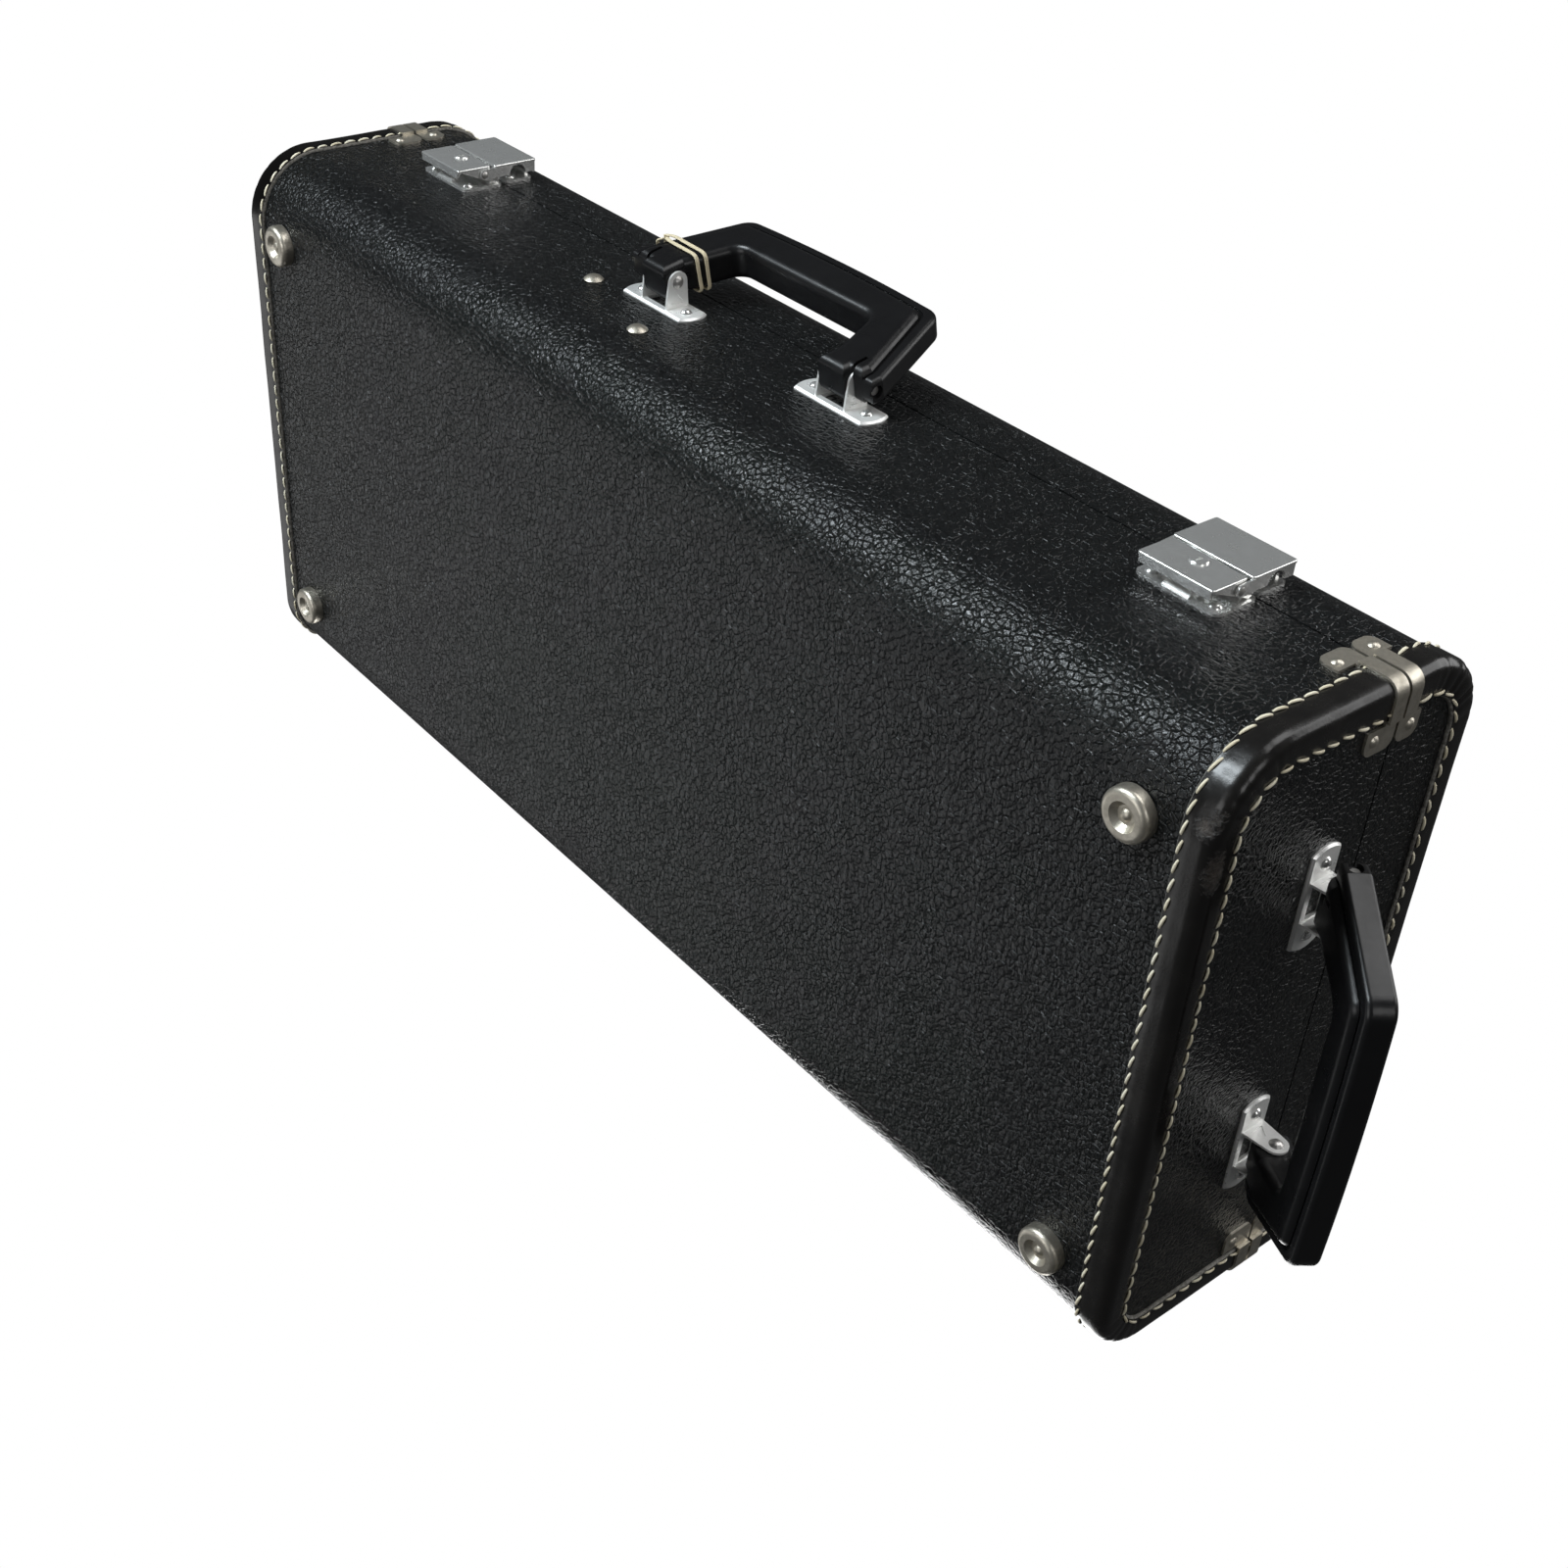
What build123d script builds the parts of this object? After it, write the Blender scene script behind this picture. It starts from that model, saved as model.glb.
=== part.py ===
from build123d import *
import os
from math import asin, cos, radians, sin

os.makedirs("parts", exist_ok=True)

# The case lies on its four feet: X runs along it, the latches and main handle are on -Y,
# the hinges on +Y, the feet stand on Z = 0 and the origin is the middle of the four feet.

# Case body, over the leatherette cover
case_length = 635.0
case_width = 276.0
case_depth = 133.0
base_depth = 86.0
seam_gap = 0.8
wall = 6.0
end_panel = 6.0
latch_side_radius = 32.0
hinge_side_radius = 25.0
end_edge_radius = 3.5

# Binding rolled over each end edge
binding_thickness = 1.5
binding_on_side = 15.0
binding_on_end = 12.5

# Feet
foot_height = 6.0
foot_radius = 10.0
foot_edge_radius = 2.4
foot_dish_radius = 5.6
foot_dish_floor_radius = 3.6
foot_dish_depth = 2.2
foot_from_end = 33.5
foot_from_side = 36.0
foot_spacing_x = case_length - 2 * foot_from_end
foot_spacing_y = case_width - 2 * foot_from_side
nail_radius = 1.2
nail_head_radius = 2.4
nail_head_height = 1.3

# Seam clips over the binding
clip_thickness = 1.0
clip_side_pad = 11.5
clip_end_pad = 12.0
clip_strap = 6.5
clip_from_seam = 0.7
base_clip_pad = 16.0
lid_clip_pad = 12.5
base_clip_rivet = 11.5
lid_clip_rivet = 7.8
clip_pad_rivet_inset = 5.5
clip_rivet_radius = 2.3
clip_rivet_height = 1.2
clip_rivet_shank = 1.0
clip_corner_radius = 4.0

# Mouth rim, lining and blocks
rim_thickness = 3.0
rim_below_seam = 20.0
rim_above_seam = 6.0
rim_clearance = 0.6
rim_chamfer = 0.7
lining_thickness = 8.0
lid_pad_thickness = 14.0
pad_channel_radius = 5.0
pad_channel_depth = 3.0
pad_panels = 4
soft_clearance = 0.3
block_clearance = 0.2
block_height = 50.0
bow_block_length = 74.0
bow_radius = 70.0
bow_centre_y = 10.0
bell_block_x = 35.0
bell_block_length = 30.0
bell_radius = 62.0
bell_centre_y = -54.0
bell_block_edge_y = 16.0
bell_block_web = 2.0
saddle_x = 165.0
saddle_length = 30.0
saddle_edge_y = 26.0
body_tube_radius = 27.0
body_tube_y = 74.0
box_left_x = 92.0
box_right_x = 296.0
box_edge_y = 8.0
box_wall = 4.0
box_floor = 3.0
box_pocket_low_y = -122.0
box_corner_radius = 6.0

# Latches, in heights above the seam and distances out from the cover
latch_x = 236.0
latch_plate_width = 38.0
latch_plate_bottom = -23.0
latch_plate_top = -1.0
latch_plate_corner = 3.0
latch_plate_thickness = 1.2
ear_inner = 14.9
ear_radius = 2.4
sheet = 1.0
layer_gap = 0.3
pressed_corner = 1.2
pressed_edge = 0.5
lever_pivot_up = -4.5
lever_pivot_out = 4.0
lever_pin_radius = 1.25
running_clearance = 0.05
cover_underside = 9.0
cover_thickness = 1.2
lever_bottom = -25.0
lever_top = -7.0
lever_lip_depth = 2.6
lever_flange_short = 2.5
lever_eye_radius = 2.5
hasp_pivot_up = -11.0
hasp_pivot_out = 6.5
hasp_pin_radius = 1.0
hasp_pin_head_radius = 1.7
hasp_pin_head_height = 0.5
hasp_eye_radius = 2.4
hasp_bottom = -5.4
hasp_top = 18.0
hasp_skirt_out = 4.5
hasp_notch_up = 7.5
hasp_notch_radius = 4.5
hasp_skirt_inset = 1.3
hasp_arm_root = 4.4
skirt_overlap = 0.4
hook_clearance = 0.3
strike_width = 34.0
strike_bottom = 1.2
strike_bead_out = 3.0
strike_bead_length = 26.0
strike_bead_depth = 1.8
strike_bead_flank = 2.1
strike_corner = 2.0
tongue_width = 12.0
tongue_foot_up = -22.8
tongue_tip_up = -14.8
tongue_out = 6.8
tongue_root = 2.4
tongue_bend_inner = 1.2
tongue_bend_outer = 1.8
tongue_root_lift = 0.4
lock_up = -12.6
lock_radius = 2.6
lock_head_radius = 3.5
lock_head_height = 0.7
lock_cam_length = 5.6
lock_cam_width = 3.0
lock_cam_thickness = 1.0
lock_play = 0.1
lock_head_chamfer = 0.3
keyhole_radius = 0.9
keyhole_slot_length = 2.4
keyhole_depth = 1.2
latch_rivet_x = 14.2
latch_rivet_up = -18.3
strike_rivet_x = 12.5
strike_rivet_up = 6.5
small_rivet_radius = 2.6
small_rivet_height = 1.7
small_rivet_shank = 1.3

# Handle brackets and pins
bracket_spacing = 117.0
bracket_height = 65.0
bracket_length = 45.0
bracket_width = 15.0
bracket_end_bow = 2.5
bracket_thickness = 1.4
bracket_bevel = 0.8
bracket_window_width = 8.0
bracket_window_margin = 0.6
bracket_ear_inner = 8.15
bracket_ear_foot = 12.0
bracket_ear_radius = 4.8
ear_press_half = 3.0
ear_press_low = 3.2
ear_press_high = 7.6
ear_press_depth = 0.35
window_corner = 1.0
bracket_rivet_x = 15.4
pivot_height = 12.5
handle_pin_radius = 1.8
handle_pin_head_radius = 2.8
handle_pin_head_height = 1.4
side_rivet_radius = 4.5
side_rivet_height = 2.6
side_rivet_collar = 0.5
side_rivet_left = (-96.0, 54.0)
side_rivet_right = (-41.0, 38.0)

# Grips, in reach out from the pivot and distance along it from the middle
main_fold_angle = 78.0
end_fold_angle = -37.0
grip_reach = 50.0
grip_bow = 2.0
grip_corner_half = 60.5
grip_inner_reach = 29.0
grip_inner_half = 43.0
grip_foot_half_web = 7.8
grip_foot_out = 20.5
grip_foot_drop = 6.0
grip_flange_drop = 2.5
grip_shoulder = 5.5
grip_flank = 3.0
grip_ear_slot = 6.0
grip_play = 0.35
grip_body_thickness = 16.0
grip_rim_thickness = 11.0
grip_groove_thickness = 9.0
grip_rim_width = 4.3
grip_groove_width = 1.3
grip_edge = 3.8
grip_rim_edge = 2.2
grip_outer_corner = 9.0
grip_inner_corner = 7.0
pin_recess_radius = 2.8
pin_recess_depth = 1.5
band_reach = 9.5
band_step = 3.6
band_width = 2.0
band_thickness = 1.0
band_play = 0.1

# Hinges
hinge_x = 190.0
hinge_width = 42.0
hinge_leaf_reach = 19.0
hinge_leaf_thickness = 1.2
hinge_from_seam = 0.7
knuckle_radius = 2.8
knuckle_out = 3.2
knuckle_count = 5
knuckle_gap = 0.3
knuckle_wrap = 5.4
knuckle_wrap_lift = 0.8
leaf_corner = 2.0
hinge_pin_head_radius = 1.8
hinge_pin_head_height = 0.8
hinge_pin_radius = 1.3
hinge_rivet_x = 14.0
hinge_rivet_up = 13.0

# Levels and faces that follow from the sizes above
base_z = foot_height
seam_z = base_z + base_depth
top_z = base_z + case_depth
side_y = case_width / 2
shell_half = case_length / 2 - binding_thickness
inner_half = shell_half - end_panel
block_floor_z = base_z + wall + lining_thickness
base_rim_z = seam_z - seam_gap / 2
lid_rim_z = seam_z + seam_gap / 2
flange_inner = ear_inner + sheet + layer_gap
lever_half = flange_inner + sheet
arm_inner = lever_half + layer_gap
hasp_half = arm_inner + sheet
hands = (("left", -1), ("right", 1))


def finish(builder, name):
    """Label a finished piece and write it as its own STEP file."""
    builder.part.label = name
    export_step(builder.part, f"parts/{name}.step")


def on_latch_side(x, z, out=0.0):
    """A plane on the latch side, facing outward: its x runs along the case and its y up."""
    return Plane(origin=(x, -side_y - out, z), x_dir=(1, 0, 0), z_dir=(0, -1, 0))


def on_hinge_side(x, z, out=0.0):
    """A plane on the hinge side, facing outward, with its y up."""
    return Plane(origin=(x, side_y + out, z), x_dir=(-1, 0, 0), z_dir=(0, 1, 0))


def on_right_end(y, z, out=0.0):
    """A plane on the right end panel, facing outward, with its y up."""
    return Plane(origin=(shell_half + out, y, z), x_dir=(0, 1, 0), z_dir=(1, 0, 0))


def spot(seat, along, up, out):
    """A plane parallel to a seat, moved along, up and outward from it."""
    return Plane(origin=seat.from_local_coords((along, up, out)), x_dir=seat.x_dir, z_dir=seat.z_dir)


def side_plane(seat, along):
    """A plane square to a seat's x direction: its x is up and its y is outward."""
    return Plane(origin=seat.from_local_coords((along, 0, 0)), x_dir=seat.y_dir, z_dir=seat.x_dir)


def case_section(x, inset):
    """The case's rounded section at station x, drawn in by inset."""
    with BuildSketch(Plane.YZ.offset(x)) as section:
        with Locations((0, base_z + case_depth / 2)):
            Rectangle(case_width - 2 * inset, case_depth - 2 * inset)
        fillet(section.vertices().group_by(Axis.X)[0], latch_side_radius - inset)
        fillet(section.vertices().sort_by(Axis.X)[-2:], hinge_side_radius - inset)
    return section.sketch


def whole_case():
    """The closed case as one solid, with its two end edges rounded."""
    with BuildPart() as body:
        extrude(case_section(-shell_half, 0), amount=2 * shell_half)
        ends = body.faces().sort_by(Axis.X)
        fillet(ends[0].edges() + ends[-1].edges(), end_edge_radius)
    return body.part


def rivets(places, head_radius, head_height, shank_radius, shank_length):
    """Domed rivets, each head standing on its own plane and its shank running back from it."""
    ball = (head_radius**2 + head_height**2) / (2 * head_height)
    halfway = asin(head_radius / ball) / 2
    on_dome = (ball * sin(halfway), head_height - ball + ball * cos(halfway))
    with BuildPart() as group:
        for place in places:
            with BuildSketch(Plane(origin=place.origin, x_dir=place.x_dir, z_dir=-place.y_dir)):
                with BuildLine():
                    Polyline(
                        (0, head_height),
                        (0, -shank_length),
                        (shank_radius, -shank_length),
                        (shank_radius, 0),
                        (head_radius, 0),
                    )
                    ThreePointArc((head_radius, 0), on_dome, (0, head_height))
                make_face()
            revolve(axis=Axis(place.origin, place.z_dir))
    return group.part


closed_case = whole_case()

# Base and lid: bent plywood troughs in grained cover, with flat panels let into the ends
with BuildPart() as base_shell:
    add(closed_case)
    extrude(case_section(-shell_half, wall), amount=2 * shell_half, mode=Mode.SUBTRACT)
    split(bisect_by=Plane.XY.offset(base_rim_z), keep=Keep.BOTTOM)
finish(base_shell, "base_shell")

with BuildPart() as lid_shell:
    add(closed_case)
    extrude(case_section(-shell_half, wall), amount=2 * shell_half, mode=Mode.SUBTRACT)
    split(bisect_by=Plane.XY.offset(lid_rim_z), keep=Keep.TOP)
finish(lid_shell, "lid_shell")

for hand, start in (("left", -shell_half), ("right", inner_half)):
    with BuildPart() as base_end:
        extrude(case_section(start, wall), amount=end_panel)
        split(bisect_by=Plane.XY.offset(base_rim_z), keep=Keep.BOTTOM)
    finish(base_end, f"base_end_{hand}")

    with BuildPart() as lid_end:
        extrude(case_section(start, wall), amount=end_panel)
        split(bisect_by=Plane.XY.offset(lid_rim_z), keep=Keep.TOP)
    finish(lid_end, f"lid_end_{hand}")


# Binding: a strip rolled over each end edge and cut at the seam
def binding_ring(side):
    """The whole ring of binding at one end, before the seam cuts it."""
    start = case_length / 2 - binding_on_side if side > 0 else -case_length / 2
    with BuildPart() as ring:
        extrude(case_section(start, -binding_thickness), amount=binding_on_side)
        end_faces = ring.faces().sort_by(Axis.X)
        outer_face = end_faces[-1] if side > 0 else end_faces[0]
        fillet(outer_face.edges(), end_edge_radius + binding_thickness)
        add(closed_case, mode=Mode.SUBTRACT)
        extrude(case_section(start, binding_on_end), amount=binding_on_side, mode=Mode.SUBTRACT)
    return ring.part


for hand, side in hands:
    ring_part = binding_ring(side)
    with BuildPart() as base_binding:
        add(ring_part)
        split(bisect_by=Plane.XY.offset(base_rim_z), keep=Keep.BOTTOM)
    finish(base_binding, f"base_binding_{hand}")

    with BuildPart() as lid_binding:
        add(ring_part)
        split(bisect_by=Plane.XY.offset(lid_rim_z), keep=Keep.TOP)
    finish(lid_binding, f"lid_binding_{hand}")


# Mouth rim: a wooden valance glued inside the base, standing up into the lid
with BuildPart() as base_rim:
    with BuildSketch(Plane.XY.offset(seam_z - rim_below_seam)):
        Rectangle(2 * inner_half, case_width - 2 * wall)
        Rectangle(
            2 * (inner_half - rim_thickness), case_width - 2 * (wall + rim_thickness), mode=Mode.SUBTRACT
        )
    extrude(amount=base_rim_z - seam_z + rim_below_seam)
    with BuildSketch(Plane.XY.offset(base_rim_z)):
        Rectangle(2 * (inner_half - rim_clearance), case_width - 2 * (wall + rim_clearance))
        Rectangle(
            2 * (inner_half - rim_thickness), case_width - 2 * (wall + rim_thickness), mode=Mode.SUBTRACT
        )
    extrude(amount=rim_above_seam)
    chamfer(base_rim.faces().sort_by(Axis.Z)[-1].edges(), rim_chamfer)
finish(base_rim, "base_rim")


# Plush floor pad, and the lid's cushion with its sewn channels
soft_inset = wall + soft_clearance
soft_half = inner_half - soft_clearance
lid_pad_z = top_z - soft_inset - lid_pad_thickness

with BuildPart() as base_lining:
    extrude(case_section(-soft_half, soft_inset), amount=2 * soft_half)
    split(bisect_by=Plane.XY.offset(block_floor_z), keep=Keep.BOTTOM)
finish(base_lining, "base_lining")

with BuildPart() as lid_pad:
    extrude(case_section(-soft_half, soft_inset), amount=2 * soft_half)
    split(bisect_by=Plane.XY.offset(lid_pad_z), keep=Keep.TOP)
    fillet(lid_pad.faces().sort_by(Axis.Z)[0].edges(), lid_pad_thickness * 0.4)
    for channel in range(1, pad_panels):
        channel_x = -soft_half + channel * 2 * soft_half / pad_panels
        with BuildSketch(Plane.XZ.offset(-side_y)):
            with Locations((channel_x, lid_pad_z - pad_channel_radius + pad_channel_depth)):
                Circle(pad_channel_radius)
        extrude(amount=case_width, mode=Mode.SUBTRACT)
finish(lid_pad, "lid_pad")

# Blocks that hold the instrument, all cut to the shell's inner section
block_half = inner_half - block_clearance

with BuildPart() as bow_block:
    with BuildSketch(Plane.XY.offset(block_floor_z)):
        with Locations((-block_half, 0)):
            Rectangle(bow_block_length, case_width, align=(Align.MIN, Align.CENTER))
        with Locations((-block_half + bow_block_length, bow_centre_y)):
            Circle(bow_radius, mode=Mode.SUBTRACT)
    extrude(amount=block_height)
    extrude(
        case_section(-block_half, wall + block_clearance), amount=2 * block_half, mode=Mode.INTERSECT
    )
finish(bow_block, "bow_block")

with BuildPart() as bell_block:
    with BuildSketch(Plane.YZ.offset(bell_block_x)):
        with Locations((bell_block_edge_y, block_floor_z)):
            Rectangle(case_width, block_height, align=(Align.MAX, Align.MIN))
        with Locations((bell_centre_y, block_floor_z + bell_radius + bell_block_web)):
            Circle(bell_radius, mode=Mode.SUBTRACT)
    extrude(amount=bell_block_length)
    extrude(
        case_section(-block_half, wall + block_clearance), amount=2 * block_half, mode=Mode.INTERSECT
    )
finish(bell_block, "bell_block")

with BuildPart() as body_saddle:
    with BuildSketch(Plane.YZ.offset(saddle_x)):
        with Locations((saddle_edge_y, block_floor_z)):
            Rectangle(case_width, block_height, align=(Align.MIN, Align.MIN))
        with Locations((body_tube_y, block_floor_z + block_height)):
            Circle(body_tube_radius, mode=Mode.SUBTRACT)
    extrude(amount=saddle_length)
    extrude(
        case_section(-block_half, wall + block_clearance), amount=2 * block_half, mode=Mode.INTERSECT
    )
finish(body_saddle, "body_saddle")

with BuildPart() as accessory_box:
    with BuildSketch(Plane.XY.offset(block_floor_z)):
        with Locations((box_left_x, box_edge_y)):
            Rectangle(box_right_x - box_left_x, case_width, align=(Align.MIN, Align.MAX))
    extrude(amount=block_height)
    extrude(
        case_section(-block_half, wall + block_clearance), amount=2 * block_half, mode=Mode.INTERSECT
    )
    with BuildSketch(Plane.XY.offset(block_floor_z + box_floor)) as pocket:
        with Locations((box_left_x + box_wall, box_pocket_low_y)):
            Rectangle(
                box_right_x - box_left_x - 2 * box_wall,
                box_edge_y - box_wall - box_pocket_low_y,
                align=(Align.MIN, Align.MIN),
            )
        fillet(pocket.vertices(), box_corner_radius)
    extrude(amount=block_height, mode=Mode.SUBTRACT)
finish(accessory_box, "accessory_box")


# Feet: turned nickel glides, each dished for the nail that holds it
foot_places = {
    "latch_left": (-foot_spacing_x / 2, -foot_spacing_y / 2),
    "latch_right": (foot_spacing_x / 2, -foot_spacing_y / 2),
    "hinge_left": (-foot_spacing_x / 2, foot_spacing_y / 2),
    "hinge_right": (foot_spacing_x / 2, foot_spacing_y / 2),
}

for foot_name, (foot_x, foot_y) in foot_places.items():
    with BuildPart() as foot:
        with BuildSketch(Plane(origin=(foot_x, foot_y, 0), x_dir=(1, 0, 0), z_dir=(0, -1, 0))) as turned:
            Polygon(
                (nail_radius, foot_dish_depth),
                (foot_dish_floor_radius, foot_dish_depth),
                (foot_dish_radius, 0),
                (foot_radius, 0),
                (foot_radius, foot_height),
                (nail_radius, foot_height),
                align=None,
            )
            rim_corner = turned.vertices().sort_by(Axis.X)[-2:].sort_by(Axis.Y)[0]
            fillet(rim_corner, foot_edge_radius)
        revolve(axis=Axis((foot_x, foot_y, 0), (0, 0, 1)))
    finish(foot, f"foot_{foot_name}")

nail_seats = [
    Plane(origin=(x, y, foot_dish_depth), x_dir=(1, 0, 0), z_dir=(0, 0, -1)) for x, y in foot_places.values()
]
with BuildPart() as foot_nails:
    add(rivets(nail_seats, nail_head_radius, nail_head_height, nail_radius, foot_height - foot_dish_depth))
finish(foot_nails, "foot_nails")


# Seam clips: nickel straps bent over the binding at each corner, half on the base and half on the lid
def clip_rivet_seats(rivet_z):
    """Where the two rivets of the clip at the right end of the latch side stand."""
    end_x = case_length / 2
    side_rivet_x = end_x - binding_on_side - clip_side_pad + clip_pad_rivet_inset
    end_rivet_y = -side_y + binding_on_end + clip_end_pad - clip_pad_rivet_inset
    return (
        on_latch_side(side_rivet_x, rivet_z, clip_thickness),
        on_right_end(end_rivet_y, rivet_z, clip_thickness),
    )


def corner_clip(pad_low, pad_high, strap_low, strap_high, rivet_z):
    """One clip half, bent round the corner at the right end of the latch side."""
    end_x = case_length / 2
    out_y = side_y + binding_thickness
    step_x = end_x - binding_on_side
    step_y = side_y - binding_on_end
    roll = end_edge_radius + binding_thickness
    with BuildPart() as clip:
        with BuildSketch(Plane.XY.offset(pad_low)):
            with BuildSketch(Plane.XY.offset(pad_low), mode=Mode.PRIVATE) as over_binding:
                with Locations((end_x + clip_thickness, -out_y - clip_thickness)):
                    Rectangle(
                        binding_on_side + 2 * clip_thickness,
                        out_y - step_y + 2 * clip_thickness,
                        align=(Align.MAX, Align.MIN),
                    )
                fillet(over_binding.vertices().sort_by(Axis.X)[-2:].sort_by(Axis.Y)[0], roll + clip_thickness)
            with BuildSketch(Plane.XY.offset(pad_low), mode=Mode.PRIVATE) as binding_below:
                with Locations((end_x, -out_y)):
                    Rectangle(binding_on_side, out_y - step_y, align=(Align.MAX, Align.MIN))
                fillet(binding_below.vertices().sort_by(Axis.X)[-2:].sort_by(Axis.Y)[0], roll)
            add(over_binding.sketch_local)
            with Locations((step_x, -side_y - clip_thickness)):
                Rectangle(clip_side_pad, clip_thickness, align=(Align.MAX, Align.MIN))
            with Locations((shell_half, -step_y)):
                Rectangle(clip_thickness, clip_end_pad, align=(Align.MIN, Align.MIN))
            add(binding_below.sketch_local, mode=Mode.SUBTRACT)
            with Locations((shell_half, -side_y)):
                Rectangle(2 * binding_on_side, 2 * binding_on_side, align=(Align.MAX, Align.MIN),
                          mode=Mode.SUBTRACT)
        extrude(amount=pad_high - pad_low)
        # Between the pads only the strap is left
        waste_low, waste_high = (pad_low, strap_low) if pad_low < strap_low else (strap_high, pad_high)
        with BuildSketch(Plane.XY.offset(waste_low)):
            with Locations((step_x - 2 * clip_thickness, -step_y + 2 * clip_thickness)):
                Rectangle(2 * binding_on_side, 3 * binding_on_side, align=(Align.MIN, Align.MAX))
        extrude(amount=waste_high - waste_low, mode=Mode.SUBTRACT)
        side_ends = clip.edges().filter_by(Axis.Y).group_by(Axis.X)[0]
        fillet(side_ends, clip_corner_radius)
        end_ends = clip.edges().filter_by(Axis.X).group_by(Axis.Y)[-1]
        fillet(end_ends, clip_corner_radius)
        with Locations(*clip_rivet_seats(rivet_z)):
            Hole(clip_rivet_shank, clip_thickness)
    return clip.part


def clip_half(name, pad_low, pad_high, strap_low, strap_high, rivet_z):
    """All four corners of one half's clips, and their rivets."""
    one_clip = corner_clip(pad_low, pad_high, strap_low, strap_high, rivet_z)
    with BuildPart() as clips:
        add(one_clip)
        mirror(about=Plane.XZ)
        mirror(about=Plane.YZ)
    finish(clips, f"{name}_clips")
    with BuildPart() as clip_rivets:
        add(
            rivets(
                clip_rivet_seats(rivet_z), clip_rivet_radius, clip_rivet_height, clip_rivet_shank,
                clip_thickness,
            )
        )
        mirror(about=Plane.XZ)
        mirror(about=Plane.YZ)
    finish(clip_rivets, f"{name}_clip_rivets")


clip_half(
    "base",
    seam_z - base_clip_pad,
    seam_z - clip_from_seam,
    seam_z - clip_from_seam - clip_strap,
    seam_z - clip_from_seam,
    seam_z - base_clip_rivet,
)
clip_half(
    "lid",
    seam_z + clip_from_seam,
    seam_z + lid_clip_pad,
    seam_z + clip_from_seam,
    seam_z + clip_from_seam + clip_strap,
    seam_z + lid_clip_rivet,
)


# Hinges: two rolled steel butts with the pin fixed in the base leaf's knuckles
def hinge_leaf(seat, up, own_knuckles, bore):
    """One leaf on its side of the seam, up = 1 for the lid and -1 for the base."""
    knuckle_width = hinge_width / knuckle_count
    with BuildPart() as leaf:
        with BuildSketch(seat):
            with Locations((0, up * (hinge_from_seam + hinge_leaf_reach / 2))):
                RectangleRounded(hinge_width, hinge_leaf_reach, leaf_corner)
            with Locations((0, up * (hinge_from_seam + leaf_corner))):
                Rectangle(hinge_width, 2 * leaf_corner)
        extrude(amount=hinge_leaf_thickness)
        for number in range(knuckle_count):
            middle = (number - (knuckle_count - 1) / 2) * knuckle_width
            if number in own_knuckles:
                with BuildSketch(side_plane(seat, middle)):
                    with Locations((0, knuckle_out)):
                        Circle(knuckle_radius)
                    Polygon(
                        (up * hinge_from_seam, 0),
                        (up * knuckle_wrap, 0),
                        (up * knuckle_wrap, hinge_leaf_thickness),
                        (up * (knuckle_radius - running_clearance), knuckle_out + knuckle_wrap_lift),
                        (0, knuckle_out),
                        (up * hinge_from_seam, knuckle_out - knuckle_radius),
                        align=None,
                    )
                extrude(amount=(knuckle_width - knuckle_gap) / 2, both=True)
            else:
                with BuildSketch(spot(seat, middle, 0, 0)):
                    Rectangle(knuckle_width + knuckle_gap, 2 * (knuckle_radius + knuckle_gap))
                extrude(amount=2 * knuckle_out + knuckle_radius, mode=Mode.SUBTRACT)
        with BuildSketch(side_plane(seat, 0)):
            with Locations((0, knuckle_out)):
                Circle(bore)
        extrude(amount=hinge_width, both=True, mode=Mode.SUBTRACT)
        with Locations(*hinge_rivet_seats(seat, up)):
            Hole(small_rivet_shank, hinge_leaf_thickness)
    return leaf.part


def hinge_rivet_seats(seat, up):
    """The two rivets in one leaf."""
    return [
        spot(seat, side * hinge_rivet_x, up * hinge_rivet_up, hinge_leaf_thickness) for side in (-1, 1)
    ]


base_hinge_seats = []
lid_hinge_seats = []
hinge_pin_seats = []
for hand, side in hands:
    hinge_seat = on_hinge_side(side * hinge_x, seam_z)
    with BuildPart() as base_hinge:
        add(hinge_leaf(hinge_seat, -1, (0, 2, 4), hinge_pin_radius))
    finish(base_hinge, f"base_hinge_{hand}")
    with BuildPart() as lid_hinge:
        add(hinge_leaf(hinge_seat, 1, (1, 3), hinge_pin_radius + running_clearance))
    finish(lid_hinge, f"lid_hinge_{hand}")
    base_hinge_seats += hinge_rivet_seats(hinge_seat, -1)
    lid_hinge_seats += hinge_rivet_seats(hinge_seat, 1)
    hinge_pin_seats.append(
        Plane(
            origin=(side * hinge_x - hinge_width / 2, side_y + knuckle_out, seam_z),
            x_dir=(0, 0, 1),
            z_dir=(-1, 0, 0),
        )
    )

with BuildPart() as hinge_pins:
    add(
        rivets(
            hinge_pin_seats, hinge_pin_head_radius, hinge_pin_head_height, hinge_pin_radius,
            hinge_width,
        )
    )
finish(hinge_pins, "hinge_pins")

with BuildPart() as base_hinge_rivets:
    add(
        rivets(
            base_hinge_seats, small_rivet_radius, small_rivet_height, small_rivet_shank,
            hinge_leaf_thickness,
        )
    )
finish(base_hinge_rivets, "base_hinge_rivets")

with BuildPart() as lid_hinge_rivets:
    add(
        rivets(
            lid_hinge_seats, small_rivet_radius, small_rivet_height, small_rivet_shank,
            hinge_leaf_thickness,
        )
    )
finish(lid_hinge_rivets, "lid_hinge_rivets")


# Draw latches: lever on a fixed pin, hasp on pins in the lever, lock plug in the lever's face
hook_in = cover_underside - strike_bead_out - hook_clearance
strike_top = hasp_top - sheet - hook_clearance
latch_plate_seats = []
strike_seats = []
lever_pin_seats = []
pin_half = lever_half + layer_gap / 3

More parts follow.
